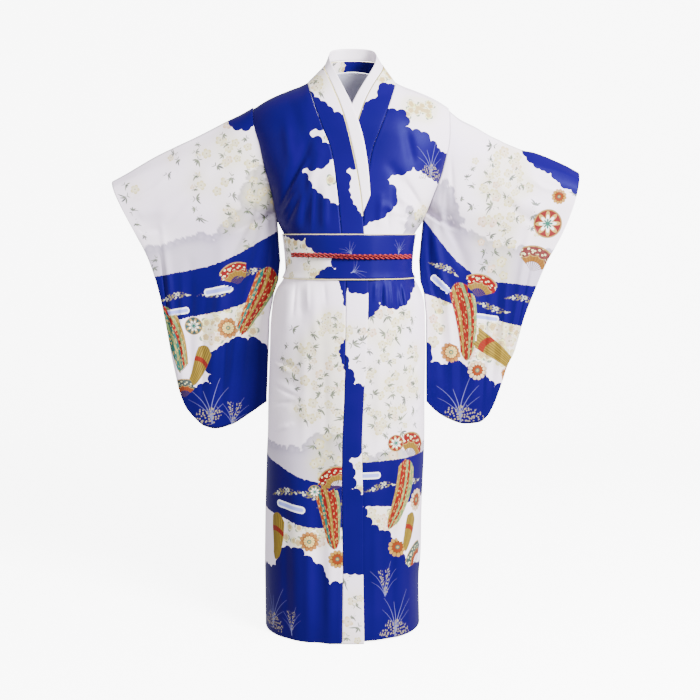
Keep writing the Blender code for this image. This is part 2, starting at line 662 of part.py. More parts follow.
def belt_ring(z, lift, columns=56):
    """Points round the body at a height, standing off it by a lift and over the neckband's layers."""
    turn = np.linspace(-np.pi, np.pi, columns, endpoint=False)
    front = np.abs(turn) <= np.pi / 2
    angle = np.where(front, turn, np.sign(turn) * (np.pi - np.abs(turn)))
    level = np.full(columns, z)
    x = across(angle, level)
    depth = np.where(front, smooth(level, BODY, 4), smooth(level, BODY, 5))
    y = np.where(front, -1, 1) * depth * np.abs(np.cos(angle)) ** (2 / ROUNDNESS)
    span = ease((x - seam_x(level, -1) + 0.075) / 0.05) * ease((0.085 - x) / 0.04)
    raised = 0.0014 + (LAYER_RISE + 0.0004) * span * front
    centre = smooth(level, BODY, 1)
    nx = (x - centre) / smooth(level, BODY, 2) ** 2
    ny = y / depth ** 2
    size = np.hypot(nx, ny)
    away = raised + lift + 0.0012
    return np.stack([x + nx / size * away, y + ny / size * away, level], axis=1)


def belt_point(x, z, lift):
    """A point on the front of the belt."""
    ring = belt_ring(z, lift, 128)
    front = ring[ring[:, 1] < 0.004]
    order = np.argsort(front[:, 0])
    return [x, np.interp(x, front[order, 0], front[order, 1]), z]


# Body panels
over = front_panel(-1, 0.0)
under = front_panel(1, UNDER_HEM_RISE)
back = back_panel()
wall("front_right", over, CLOTH, (0.02, 0.03, 0.45), flip=True)
wall("front_left", under, CLOTH, (0.03, 0.04, 0.50), flip=False)
wall("back", back, CLOTH, (0.72, 0.72, 0.80), flip=True)

# Neckband and its white edging strip
seam, edge, strip, over_rows = collar_lines(over, under, back)
band = ribbon(seam, edge, 0.0006, 0.0002, 4)
lift = np.zeros(len(seam))
lift[:over_rows] = LAYER_RISE * ease((0.0 - seam[:over_rows, 2]) / 0.06)
band = settle_on_front(band, lift[:, None, None])
wall("neckband", band, BAND, (0.02, 0.03, 0.45), flip=True)

tip = int(np.searchsorted(seam[:over_rows, 2], EDGING_END_Z))
tail = len(seam) - int(np.searchsorted(seam[::-1, 2][:over_rows], -0.1650)) - 1
skew = np.arange(tip, tail) + np.interp(np.arange(tail - tip), [0, 1, 2, 3, 4], EDGING_SLANT)
outer = np.stack([np.interp(skew, np.arange(len(strip)), strip[:, i]) for i in range(3)], axis=1)
edging = ribbon(edge[tip:tail], outer, 0.0008, 0.0, 3)
edging = settle_on_front(edging, lift[tip:tail, None, None] - 0.0004)
wall("edging", edging, STRIP, (0.86, 0.86, 0.88), flip=True)

# Sleeves
wall("sleeve_right", sleeve(-1, SLEEVE_LEFT), CLOTH, (0.78, 0.78, 0.85), closed=True)
wall("sleeve_left", sleeve(1, SLEEVE_RIGHT), CLOTH, (0.78, 0.78, 0.85), closed=True)

# Belt, its piping and the sewn-on cord
levels = np.linspace(BELT_BOTTOM, BELT_TOP, 4)
obi = np.stack([belt_ring(z, BELT) for z in levels])
wall("obi", obi, BELT, (0.03, 0.04, 0.50), closed=True)
for name, level, way in (("piping_top", BELT_TOP, 1), ("piping_bottom", BELT_BOTTOM, -1)):
    near = belt_ring(level + way * 0.0004, BELT + 0.0002)
    far = belt_ring(level + way * (0.0004 + PIPING), BELT + 0.0002)
    rim = np.stack([near, far])
    wall(name, rim, BELT * 0.9, (0.85, 0.75, 0.45), closed=True)
xs = np.linspace(-0.1390, 0.1465, 36)
zs = -0.4040 - 0.0050 * (xs + 0.139) / 0.29
cord = np.array([belt_point(x, z, BELT + CORD_RADIUS + 0.0012) for x, z in zip(xs, zs)])
tube("obi_cord", cord, CORD_RADIUS, 7, (0.62, 0.02, 0.03))
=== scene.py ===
"""Yukata of printed satin, in the frame of its CAD model.

Metres, +Z up, the front faces -Y and +X is the viewer's right. Every sheet of cloth is a closed thin wall
on its solid's form, with finer rows and more folds. The print is drawn by the material from the sheet's
flat pattern: signed distances for the cloud shapes, and one small square of pattern for each motif.
"""

import math

import bpy
import numpy as np
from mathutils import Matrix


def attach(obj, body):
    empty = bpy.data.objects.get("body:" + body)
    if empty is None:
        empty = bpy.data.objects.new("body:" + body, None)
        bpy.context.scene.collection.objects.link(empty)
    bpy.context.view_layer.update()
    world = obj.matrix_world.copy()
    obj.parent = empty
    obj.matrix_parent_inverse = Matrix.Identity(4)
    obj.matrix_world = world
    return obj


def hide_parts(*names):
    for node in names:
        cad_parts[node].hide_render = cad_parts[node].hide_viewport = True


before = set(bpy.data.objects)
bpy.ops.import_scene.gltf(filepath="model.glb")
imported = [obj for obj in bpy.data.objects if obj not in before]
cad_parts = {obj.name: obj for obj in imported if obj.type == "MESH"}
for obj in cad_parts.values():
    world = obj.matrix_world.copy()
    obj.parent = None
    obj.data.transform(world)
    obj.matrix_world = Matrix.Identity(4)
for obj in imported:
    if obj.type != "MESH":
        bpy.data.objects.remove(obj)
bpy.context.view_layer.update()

# Walls, gaps and main levels
CLOTH = 0.0013
BAND = 0.0016
STRIP = 0.0011
BELT = 0.0030
SEAM_GAP = 0.0004
LAYER_RISE = 0.0027
PIPING = 0.0022
HEM_Z = -1.333
UNDER_HEM_RISE = 0.0045
ARMPIT_Z = -0.320
EDGING_END_Z = -0.3120
BELT_TOP = -0.3575
BELT_BOTTOM = -0.4590
RIDGE_ROUND = 0.140
SHOULDER_SEAM_DROP = 0.008
NECK_X = 0.004
ROUNDNESS = 2.3

# Angle that a panel stays short of its side seam, how folds fade towards it, and how strongly they show
SIDE_GAP = SEAM_GAP / 1.1
FOLD_FADE = 0.7
FOLD_RISE = 1.2
BODY_CREASE_RISE = 2.0
SLEEVE_CREASE_RISE = 1.7

# The neckband lies on the body below this height and stands free above it
LYING_Z = -0.018
LYING_FADE = 0.025

# The edging lies this much lower than the neckband, with a gap between them, and ends at this height
EDGING_INSET = 0.0004
EDGING_GAP = 0.0008
EDGING_TAIL_Z = -0.1650

# Gaps of the neckband at its seam and at its free edge
BAND_SEAM_GAP = 0.0006
BAND_EDGE_GAP = 0.0002

# Rows and columns of the sheets
LOWER_ROWS = 300
UPPER_ROWS = 92
FRONT_COLUMNS = 72
BACK_SIDE_COLUMNS = 40
BACK_NECK_COLUMNS = 42
SLEEVE_RINGS = 104
SLEEVE_FRONT = 190
BAND_COLUMNS = 17
EDGING_COLUMNS = 9
BELT_COLUMNS = 361
BELT_ROWS = 31

# Sections of the body: height, centre, half width, share of the full width, front depth, back depth
BODY = np.array([
    [0.100, 0.0025, 0.2355, 0.930, 0.1000, 0.098],
    [-0.055, 0.0025, 0.2355, 0.930, 0.1040, 0.098],
    [-0.095, 0.0043, 0.2333, 0.930, 0.1070, 0.100],
    [-0.150, 0.0100, 0.2235, 0.935, 0.1100, 0.103],
    [-0.212, 0.0098, 0.2088, 0.950, 0.1160, 0.105],
    [-0.260, 0.0065, 0.1935, 0.975, 0.1210, 0.106],
    [-0.320, 0.0005, 0.1775, 1.000, 0.1250, 0.105],
    [-0.362, -0.0025, 0.1570, 1.000, 0.1300, 0.102],
    [-0.440, -0.0030, 0.1505, 1.000, 0.1320, 0.100],
    [-0.465, -0.0030, 0.1600, 1.000, 0.1340, 0.104],
    [-0.490, -0.0045, 0.1750, 1.000, 0.1370, 0.112],
    [-0.520, -0.0040, 0.1845, 1.000, 0.1400, 0.122],
    [-0.585, -0.0055, 0.1895, 1.000, 0.1430, 0.129],
    [-0.650, -0.0063, 0.1907, 1.000, 0.1440, 0.132],
    [-0.766, -0.0091, 0.1928, 1.000, 0.1460, 0.134],
    [-0.830, -0.0095, 0.1937, 1.000, 0.1470, 0.136],
    [-0.910, -0.0120, 0.1950, 1.000, 0.1490, 0.138],
    [-1.040, -0.0165, 0.1948, 1.000, 0.1510, 0.140],
    [-1.140, -0.0180, 0.1953, 1.000, 0.1530, 0.143],
    [-1.220, -0.0205, 0.1930, 1.000, 0.1550, 0.145],
    [-1.333, -0.0190, 0.1940, 1.000, 0.1580, 0.148],
])

# Top of the shoulders: distance from the neck centre, height seen from behind, height seen from in front
RIDGE = np.array([
    [0.000, 0.075, 0.022],
    [0.030, 0.070, 0.021],
    [0.060, 0.052, 0.018],
    [0.080, 0.033, 0.014],
    [0.100, 0.011, 0.010],
    [0.125, -0.002, -0.002],
    [0.150, -0.011, -0.011],
    [0.200, -0.032, -0.032],
    [0.240, -0.056, -0.056],
    [0.300, -0.090, -0.090],
])

# Back neckline: distance from the neck centre, angle behind the shoulder ridge in degrees
NECKLINE = np.array([
    [0.0000, 40.2],
    [0.0300, 38.9],
    [0.0600, 32.6],
    [0.0880, 20.5],
    [0.0980, 14.6],
    [0.1015, 0.0],
    [0.1045, -19.6],
])

# Neckband in front on the overlapping side: seam height, seam x, free edge x and z, edging x and z
COLLAR = np.array([
    [-1.3330, -0.0192, 0.0336, -1.3340, 0.0600, -1.3340],
    [-1.1500, -0.0174, 0.0311, -1.1500, 0.0600, -1.1500],
    [-0.9870, -0.0195, 0.0305, -0.9870, 0.0600, -0.9870],
    [-0.8630, -0.0189, 0.0279, -0.8640, 0.0580, -0.8640],
    [-0.7440, -0.0141, 0.0322, -0.7430, 0.0600, -0.7430],
    [-0.6100, -0.0108, 0.0395, -0.6090, 0.0650, -0.6090],
    [-0.4740, -0.0094, 0.0425, -0.4740, 0.0680, -0.4740],
    [-0.3550, -0.0200, 0.0326, -0.3520, 0.0600, -0.3520],
    [-0.2960, -0.0256, 0.0285, -0.2890, 0.0488, -0.2830],
    [-0.2300, -0.0330, 0.0180, -0.2160, 0.0430, -0.2090],
    [-0.1650, -0.0430, 0.0035, -0.1470, 0.0320, -0.1380],
    [-0.0980, -0.0680, -0.0165, -0.0700, 0.0080, -0.0620],
    [-0.0450, -0.0870, -0.0400, -0.0120, -0.0205, -0.0030],
    [-0.0005, -0.1005, -0.0610, 0.0380, -0.0460, 0.0500],
])

# Neckband round the neck: distance from the neck centre, free edge and edging from the seam (x, y, z each)
STAND = np.array([
    [0.1045, 0.0395, 0.0060, 0.0380, 0.0545, 0.0080, 0.0500],
    [0.1015, 0.0275, 0.0000, 0.0425, 0.0400, 0.0000, 0.0680],
    [0.0980, 0.0220, -0.0030, 0.0450, 0.0320, -0.0050, 0.0760],
    [0.0700, 0.0120, -0.0020, 0.0370, 0.0180, -0.0060, 0.0670],
    [0.0350, 0.0040, -0.0010, 0.0300, 0.0060, -0.0060, 0.0585],
    [0.0000, 0.0000, -0.0015, 0.0270, 0.0000, -0.0070, 0.0560],
])

# How much wider the free edge and the edging stand on the viewer's right, by their COLLAR column
WIDE_NECK = {2: 0.012, 4: 0.007}

# Sleeve on the viewer's left: share from the armhole to the cuff, top x and z, lower end x and z
SLEEVE_LEFT = np.array([
    [0.00, -0.2330, -0.0560, -0.2085, -0.765],
    [0.10, -0.2620, -0.0720, -0.2524, -0.796],
    [0.20, -0.2962, -0.0880, -0.2982, -0.824],
    [0.30, -0.3300, -0.1050, -0.3375, -0.834],
    [0.38, -0.3580, -0.1190, -0.3640, -0.828],
    [0.46, -0.3833, -0.1310, -0.3900, -0.806],
    [0.53, -0.4080, -0.1420, -0.4115, -0.778],
    [0.60, -0.4330, -0.1535, -0.4250, -0.741],
    [0.67, -0.4580, -0.1650, -0.4330, -0.703],
    [0.76, -0.4817, -0.1770, -0.4450, -0.641],
    [0.84, -0.5150, -0.1960, -0.4545, -0.570],
    [0.92, -0.5480, -0.2150, -0.4615, -0.509],
    [1.00, -0.5815, -0.2325, -0.4665, -0.454],
])

# Sleeve on the viewer's right, with the same columns
SLEEVE_RIGHT = np.array([
    [0.00, 0.2385, -0.0620, 0.1905, -0.766],
    [0.10, 0.2660, -0.0830, 0.2140, -0.790],
    [0.20, 0.3028, -0.1010, 0.2480, -0.811],
    [0.30, 0.3400, -0.1220, 0.2875, -0.823],
    [0.38, 0.3620, -0.1320, 0.3214, -0.820],
    [0.46, 0.3786, -0.1400, 0.3439, -0.804],
    [0.53, 0.4010, -0.1490, 0.3603, -0.774],
    [0.60, 0.4226, -0.1570, 0.3765, -0.729],
    [0.67, 0.4450, -0.1610, 0.3925, -0.678],
    [0.76, 0.4700, -0.1690, 0.4085, -0.644],
    [0.84, 0.4950, -0.1790, 0.4297, -0.566],
    [0.92, 0.5270, -0.1930, 0.4455, -0.516],
    [1.00, 0.5600, -0.2105, 0.4505, -0.473],
])

# Outward bow of the cuff line of each sleeve
CUFF_BOW = {-1: 0.004, 1: 0.017}

# How a sleeve leaves the body: how fast its lines straighten from the inner edge, how far above the armpit
# the armhole starts, the share over which it takes the armhole's depth, and the back's share of thickness
INNER_FADE = 2.2
ARMPIT_CLEAR = 0.012
ARMHOLE_REACH = 0.25
BEHIND_SHARE = 0.9

# Least half thickness of a sleeve, and how far its top fold and lower end reach past the rest
LEAST_FRONT = 0.0075
LEAST_BACK = 0.0068
SLEEVE_LEAST = 0.006
SLEEVE_EDGE = 0.0045

# Sleeve thickness from top to bottom: share of the way down, half thickness at the armhole, at the cuff
SLEEVE_DEPTH = np.array([
    [0.00, 0.0080, 0.0080],
    [0.06, 0.0400, 0.0260],
    [0.15, 0.0540, 0.0360],
    [0.25, 0.0500, 0.0380],
    [0.38, 0.0200, 0.0360],
    [0.60, 0.0150, 0.0300],
    [0.90, 0.0130, 0.0200],
    [1.00, 0.0075, 0.0075],
])


def by_side(scale, **sides):
    """Fold tables of the front and the back, divided by a scale."""
    return {side: np.array(rows) / scale for side, rows in sides.items()}


# Folds of the body in millimetres: start x and z, end x and z, half width, rise
BODY_FOLDS = by_side(
    1000,
    front=[
        (-165, -290, -85, -120, 13, -6), (-135, -345, -70, -170, 12, 5), (-110, -350, -100, -210, 10, -4.5),
        (-60, -350, -58, -250, 9, 3.5), (172, -300, 95, -200, 13, -5), (150, -340, 85, -290, 11, 4.5),
        (120, -350, 105, -240, 9, -4), (70, -350, 72, -270, 9, 3), (-145, -465, -155, -600, 16, 6),
        (-118, -465, -112, -560, 9, -3.5), (-85, -465, -80, -620, 14, 4), (85, -465, 88, -575, 8, 4),
        (108, -465, 115, -560, 7, -4), (128, -465, 140, -590, 9, 5), (-190, -690, -115, -720, 12, -3),
        (-190, -800, -130, -760, 13, 3), (-130, -900, -120, -1330, 30, 5), (-70, -850, -75, -1330, 24, -4),
        (90, -820, 80, -1330, 26, -4), (125, -700, 120, -1330, 24, 5)
    ],
    back=[
        (-120, -345, -150, -150, 14, 6), (-70, -345, -90, -180, 12, -4.5), (60, -345, 85, -170, 12, 5),
        (125, -345, 155, -160, 13, -5), (5, -345, 0, -220, 10, -3), (-130, -465, -145, -640, 14, 6),
        (-90, -465, -95, -600, 10, -4), (-45, -465, -40, -660, 12, 4), (50, -465, 60, -620, 11, 4.5),
        (100, -465, 110, -580, 9, -4), (135, -465, 145, -650, 13, 5), (-110, -820, -120, -1330, 28, 6),
        (-40, -760, -50, -1330, 26, -4.5), (30, -900, 25, -1330, 26, 5), (95, -800, 100, -1330, 28, -4.5),
        (150, -900, 140, -1330, 22, 4.5)
    ],
)

# Finer creases of the body with the same columns
BODY_CREASES = by_side(
    1000,
    front=[
        (-172, -300, -120, -205, 4.5, -2.6), (-168, -318, -128, -262, 4, 2.2),
        (-150, -335, -118, -270, 5, -2.4), (-152, -268, -100, -185, 5, 2), (-90, -345, -84, -240, 4.5, 1.6),
        (178, -302, 130, -232, 5, -2.8), (176, -312, 112, -268, 4.5, 2), (168, -326, 100, -312, 4.5, -2),
        (140, -345, 128, -285, 4, 1.8), (90, -345, 88, -300, 4, -1.5), (76, -470, 74, -528, 3.2, -2),
        (97, -470, 102, -540, 3.4, 2.2), (118, -470, 126, -525, 3.2, -2.2), (138, -472, 150, -535, 3.6, 2),
        (60, -470, 58, -510, 3, 1.4), (-100, -470, -98, -530, 4, 1.8), (-128, -470, -134, -545, 4.2, -2.2),
        (-60, -470, -56, -520, 3.4, -1.4), (-188, -655, -128, -668, 4.8, -3.4),
        (-188, -664, -140, -682, 4.6, 2.8), (-190, -716, -130, -738, 5, -3.2),
        (-190, -764, -136, -752, 5.2, -3.2), (-190, -830, -140, -806, 5.6, 3),
        (176, -640, 140, -700, 6, -1.8), (178, -760, 130, -800, 7, 1.8), (110, -560, 104, -800, 10, -1.8),
        (70, -600, 66, -900, 11, 1.6), (-105, -560, -110, -850, 12, 1.8), (-60, -620, -55, -900, 10, -1.4),
        (-155, -950, -150, -1333, 12, -2.4), (-98, -1000, -100, -1333, 11, 2.2),
        (-45, -1050, -48, -1333, 10, 2), (62, -1000, 60, -1333, 10, 1.8), (104, -980, 102, -1333, 11, -2.2),
        (150, -900, 148, -1333, 11, 2.2), (130, -110, 150, -200, 12, -2), (-150, -90, -140, -190, 12, 2.2)
    ],
    back=[
        (-150, -345, -170, -220, 6, -2.6), (-95, -345, -120, -200, 5.5, 2.2),
        (-40, -345, -45, -230, 5, 1.8), (30, -345, 40, -250, 5, -1.8), (95, -345, 120, -210, 5.5, 2.2),
        (150, -345, 172, -240, 6, 2.4), (-110, -470, -120, -560, 4.5, 2.2), (-68, -470, -70, -545, 4, 1.8),
        (-20, -470, -18, -560, 4.2, -1.8), (22, -470, 26, -540, 4, 1.8), (76, -470, 86, -560, 4.2, -2),
        (120, -470, 130, -550, 4.5, 2.2), (-170, -560, -80, -640, 8, -2), (172, -600, 90, -680, 8, 2),
        (-75, -900, -80, -1333, 12, 2.2), (62, -860, 64, -1333, 12, -2.2), (122, -950, 124, -1333, 11, 2),
        (-150, -980, -156, -1333, 11, -2), (-120, -60, -130, -180, 12, -2), (120, -70, 140, -170, 12, 2)
    ],
)

# Folds of a sleeve in hundredths: start share across and down, end share across and down, half width, rise
SLEEVE_FOLDS = by_side(
    100,
    front=[
        (2, 22, 30, 48, 3, -0.6), (4, 32, 20, 62, 2.6, 0.5), (10, 50, 16, 97, 3, -0.45),
        (30, 40, 34, 97, 3.6, 0.6), (50, 45, 48, 96, 3, -0.45), (70, 35, 64, 95, 3.6, 0.5),
        (25, 10, 85, 30, 3.2, 0.4)
    ],
    back=[
        (5, 25, 28, 60, 3, 0.55), (20, 40, 22, 97, 3, -0.45), (42, 40, 40, 96, 3.6, 0.55),
        (64, 40, 58, 95, 3, -0.45), (80, 30, 76, 90, 3.6, 0.45)
    ],
)

# Finer creases of a sleeve with the same columns
SLEEVE_CREASES = by_side(
    100,
    front=[
        (3, 14, 16, 30, 1.2, -0.24), (2, 19, 14, 38, 1.1, 0.22), (2, 27, 22, 42, 1.2, 0.22),
        (3, 38, 10, 60, 1.2, -0.22), (16, 55, 22, 95, 1.6, 0.22), (24, 60, 26, 97, 1.4, -0.2),
        (40, 55, 40, 97, 1.6, -0.22), (56, 50, 55, 93, 1.6, 0.2), (45, 18, 90, 44, 1.8, -0.2),
        (60, 10, 95, 22, 1.6, 0.18), (76, 50, 72, 90, 1.6, -0.2)
    ],
    back=[
        (3, 16, 20, 36, 1.4, -0.24), (4, 30, 16, 52, 1.3, 0.22), (12, 55, 14, 96, 1.6, 0.2),
        (31, 50, 32, 97, 1.6, -0.22), (52, 45, 50, 95, 1.6, 0.22), (72, 40, 66, 90, 1.6, 0.2),
        (40, 16, 88, 34, 1.8, -0.2)
    ],
)


def smooth(x, table, column):
    """Value of a table's column at x by cubic pieces with no overshoot; x is the first column."""
    xs = table[:, 0]
    ys = table[:, column]
    if xs[0] > xs[-1]:
        xs = xs[::-1]
        ys = ys[::-1]
    step = np.diff(xs)
    rise = np.diff(ys) / step
    slope = np.zeros(len(xs))
    same = rise[1:] * rise[:-1] > 0
    mean = 2 * rise[1:] * rise[:-1] / np.where(same, rise[1:] + rise[:-1], 1)
    slope[1:-1] = np.where(same, mean, 0)
    slope[0] = rise[0]
    slope[-1] = rise[-1]
    x = np.clip(x, xs[0], xs[-1])
    i = np.clip(np.searchsorted(xs, x) - 1, 0, len(xs) - 2)
    t = (x - xs[i]) / step[i]
    a = ys[i] * (1 + 2 * t) * (1 - t) ** 2 + slope[i] * step[i] * t * (1 - t) ** 2
    b = ys[i + 1] * t * t * (3 - 2 * t) - slope[i + 1] * step[i] * t * t * (1 - t)
    return a + b


def ease(t):
    """Soft step from 0 to 1."""
    t = np.clip(t, 0, 1)
    return t * t * (3 - 2 * t)


def fold_rise(folds, side, x, z):
    """Sum of soft ridges and troughs of one side at (x, z): a bell across each, tapered at its ends."""
    total = np.zeros(np.broadcast(x, z).shape)
    for x0, z0, x1, z1, width, rise in folds[side]:
        length = (x1 - x0) ** 2 + (z1 - z0) ** 2
        t = ((x - x0) * (x1 - x0) + (z - z0) * (z1 - z0)) / length
        near = np.clip(t, 0, 1)
        away = np.hypot(x - x0 - near * (x1 - x0), z - z0 - near * (z1 - z0))
        taper = 0.35 + 0.65 * ease(1.5 * (1 - np.abs(2 * near - 1)))
        total = total + rise * taper * np.exp(-((away / width) ** 2))
    return total


def body_rise(side, x, z):
    """Rise of the body's folds and creases, faded out under the belt."""
    from_belt = np.abs(z - (BELT_TOP + BELT_BOTTOM) / 2)
    folds = fold_rise(BODY_FOLDS, side, x, z) * ease((from_belt - 0.052) / 0.030)
    creases = fold_rise(BODY_CREASES, side, x, z) * ease((from_belt - 0.050) / 0.012)
    return FOLD_RISE * folds + BODY_CREASE_RISE * creases


def sleeve_rise(side, s, down):
    """Rise of a sleeve's folds and creases."""
    folds = fold_rise(SLEEVE_FOLDS, side, s, down)
    return FOLD_RISE * folds + SLEEVE_CREASE_RISE * fold_rise(SLEEVE_CREASES, side, s, down)


def side_angle(z):
    """Angle from the middle of a panel to its armhole or side seam."""
    return np.arcsin(np.minimum(smooth(z, BODY, 3), 1) ** (ROUNDNESS / 2))


def across(angle, z):
    """x on the body at an angle from the middle of the front or back."""
    full = smooth(z, BODY, 2) / smooth(z, BODY, 3)
    return smooth(z, BODY, 1) + full * np.sign(angle) * np.abs(np.sin(angle)) ** (2 / ROUNDNESS)


def angle_of(x, z):
    """Angle from the middle at which the body has this x."""
    full = smooth(z, BODY, 2) / smooth(z, BODY, 3)
    share = np.clip((x - smooth(z, BODY, 1)) / full, -1, 1)
    return np.sign(share) * np.arcsin(np.abs(share) ** (ROUNDNESS / 2))


def rounding(x, z, column):
    """Depth share near the shoulder ridge, 0 on it and 1 from RIDGE_ROUND below it."""
    drop = smooth(np.abs(x - NECK_X), RIDGE, column) - z
    t = np.clip(drop / RIDGE_ROUND, 0, 1)
    return np.sqrt(t * (2 - t))


def body_y(side, x, z):
    """y of the front or back of the body: a superellipse across with folds, rounded at the shoulder."""
    spread = np.abs(np.cos(angle_of(x, z))) ** (2 / ROUNDNESS)
    depth, ridge, way = (4, 2, -1) if side == "front" else (5, 1, 1)
    rise = body_rise(side, x, z) * spread ** FOLD_FADE
    return way * (smooth(z, BODY, depth) * spread + rise) * rounding(x, z, ridge)


def seam_x(z, side):
    """x of the seam between a front panel and the neckband; side is -1 on the overlapping panel."""
    left = smooth(z, COLLAR, 1)
    return left if side < 0 else 2 * NECK_X - left


def layer(x, z):
    """How far the overlapping panel and band stand off the layer under them."""
    inner = ease((x - seam_x(z, -1) + 0.060) / 0.030)
    return LAYER_RISE * inner * ease((0.0 - z) / 0.06)


def normals(grid, closed):
    """Unit normals of a grid of points."""
    if closed:
        ring = np.concatenate([grid[:, -1:], grid, grid[:, :1]], axis=1)
        u = (ring[:, 2:] - ring[:, :-2]) / 2
    else:
        u = np.gradient(grid, axis=1)
    v = np.gradient(grid, axis=0)
    n = np.cross(u, v)
    return n / np.maximum(np.linalg.norm(n, axis=2, keepdims=True), 1e-12)


def upper_path(x, share, column, end):
    """Height and depth angle at a share of the way from the armpit over the shoulder to an end angle."""
    top = smooth(np.abs(x - NECK_X), RIDGE, column)
    start = top - RIDGE_ROUND
    straight = np.maximum(start - ARMPIT_Z, 0)
    first = np.arccos(np.clip(1 - (top - np.maximum(start, ARMPIT_Z)) / RIDGE_ROUND, -1, 1))
    way = share * (straight + RIDGE_ROUND * (first - end))
    angle = first - np.maximum(way - straight, 0) / RIDGE_ROUND
    z = np.where(way < straight, ARMPIT_Z + way, top - RIDGE_ROUND * (1 - np.cos(angle)))
    return z, angle


def panel_x(side, share, z):
    """x across a front panel: equal steps of angle from the side to the neckband seam."""
    angle = side_angle(z)
    edge = side * (angle - SIDE_GAP)
    inner = angle_of(seam_x(z, side), z)
    return across(edge + (inner - edge) * share, z)


def front_panel(side, rise):
    """Front panel: share across from the side to the neckband seam, and rows from hem to shoulder seam.

    x comes from panel_x, y from body_y and z from even rows below the armpit and upper_path above it.
    """
    seam_angle = np.arccos(1 - (SHOULDER_SEAM_DROP + SEAM_GAP) / RIDGE_ROUND)
    share = np.linspace(0, 1, FRONT_COLUMNS + 1)[None]
    levels = np.linspace(HEM_Z, ARMPIT_Z, LOWER_ROWS + 1)
    low = levels[:, None] + rise * ease((-1.0 - levels[:, None]) / 0.33)
    high = np.linspace(0, 1, UPPER_ROWS + 1)[1:, None]
    z = np.repeat(low, FRONT_COLUMNS + 1, axis=1)
    top = np.full((UPPER_ROWS, FRONT_COLUMNS + 1), -0.15)
    for _ in range(30):
        x = panel_x(side, share, top)
        top, _angle = upper_path(x, high, 2, seam_angle)
    z = np.concatenate([z, top])
    x = panel_x(side, share, z)
    grid = np.stack([x, body_y("front", x, z), z], axis=2)
    if side < 0:
        n = normals(grid, False)
        n *= -np.sign(n[:, :, 1:2])
        grid = grid + n * layer(x, z)[:, :, None]
    return grid


def back_panel():
    """Back: share of the side angle across, and rows from the hem over the ridge to the shoulder seam."""
    seam_angle = np.arccos(1 - SHOULDER_SEAM_DROP / RIDGE_ROUND)
    share = np.linspace(0, 1, BACK_SIDE_COLUMNS + 1)[:-1]
    sides = []
    for side in (-1, 1):
        top = np.full(BACK_SIDE_COLUMNS, -0.05)
        for _ in range(30):
            x = panel_x(side, share, top)
            top = smooth(np.abs(x - NECK_X), RIDGE, 2) - SHOULDER_SEAM_DROP - SEAM_GAP
        sides.append(angle_of(x, top) / side_angle(top))
    reach = np.array([0.1044, 0.1015, 0.0980, 0.074, 0.038, 0.0])
    places = np.array([-1.0, -0.94, -0.87, -0.62, -0.31, 0.0])
    half = np.linspace(-1, 1, BACK_NECK_COLUMNS)
    knots = np.concatenate([places, -places[:-1][::-1]])
    x = NECK_X + np.interp(half, knots, np.concatenate([-reach, reach[:-1][::-1]]))
    middle = angle_of(x, np.full(BACK_NECK_COLUMNS, 0.0)) / side_angle(0.0)
    u = np.concatenate([sides[0], middle, sides[1][::-1]])[None]
    z = np.repeat(np.linspace(HEM_Z, ARMPIT_Z, LOWER_ROWS + 1)[:, None], u.shape[1], axis=1)
    x = back_x(u, z)
    lower = np.stack([x, body_y("back", x, z), z], axis=2)
    high = np.linspace(0, 1, UPPER_ROWS + 4)[1:, None]
    top = np.full((UPPER_ROWS + 3, u.shape[1]), -0.10)
    for _ in range(40):
        x = back_x(u, top)
        reach = np.abs(x - NECK_X)
        end = np.radians(smooth(reach, NECKLINE, 1))
        end = np.where(reach >= NECKLINE[-1, 0], -seam_angle, end)
        top, angle = upper_path(x, high, 1, end)
    spread = np.abs(np.cos(angle_of(x, top))) ** (2 / ROUNDNESS)
    rise = body_rise("back", x, top) * spread ** FOLD_FADE
    behind = (smooth(top, BODY, 5) * spread + rise) * np.sin(angle)
    before = smooth(top, BODY, 4) * spread * np.sin(angle)
    upper = np.stack([x, np.where(angle > 0, behind, before), top], axis=2)
    return np.concatenate([lower, upper])


def back_x(u, z):
    """x across the back at a share u of the side angle."""
    return across(u * (side_angle(z) - SIDE_GAP), z)


def ribbon_front(seam, side):
    """Free edge and edging points of the neckband beside the seam points of a front panel."""
    z = seam[:, 2]
    out = []
    for column in (2, 4):
        ex = smooth(z, COLLAR, column)
        ez = smooth(z, COLLAR, column + 1)
        if side > 0:
            ex = 2 * NECK_X - ex + WIDE_NECK[column] * ease((ez + 0.03) / 0.07)
        stand = seam[:, 1] + smooth(np.full(len(z), STAND[0, 0]), STAND[::-1], 2 if column == 2 else 5)
        settle = ease((LYING_Z - ez) / LYING_FADE)
        ey = body_y("front", ex, np.minimum(ez, LYING_Z)) * settle + stand * (1 - settle)
        out.append(np.stack([ex, ey, ez], axis=1))
    return out


def ribbon_back(seam):
    """Free edge and edging points of the neckband beside the back neckline."""
    reach = np.abs(seam[:, 0] - NECK_X)
    away = np.sign(seam[:, 0] - NECK_X)
    out = []
    for column in (1, 4):
        dx = smooth(reach, STAND, column) * -away
        dx = dx + WIDE_NECK[2 * (column // 3) + 2] * (away > 0) * ease((reach - 0.05) / 0.05)
        dy = smooth(reach, STAND, column + 1)
        dz = smooth(reach, STAND, column + 2)
        out.append(seam + np.stack([dx, dy, dz], axis=1))
    return out


def even_out(points, passes):
    """Soften a line of points, ends kept."""
    for _ in range(passes):
        points[1:-1] = 0.25 * points[:-2] + 0.5 * points[1:-1] + 0.25 * points[2:]
    return points


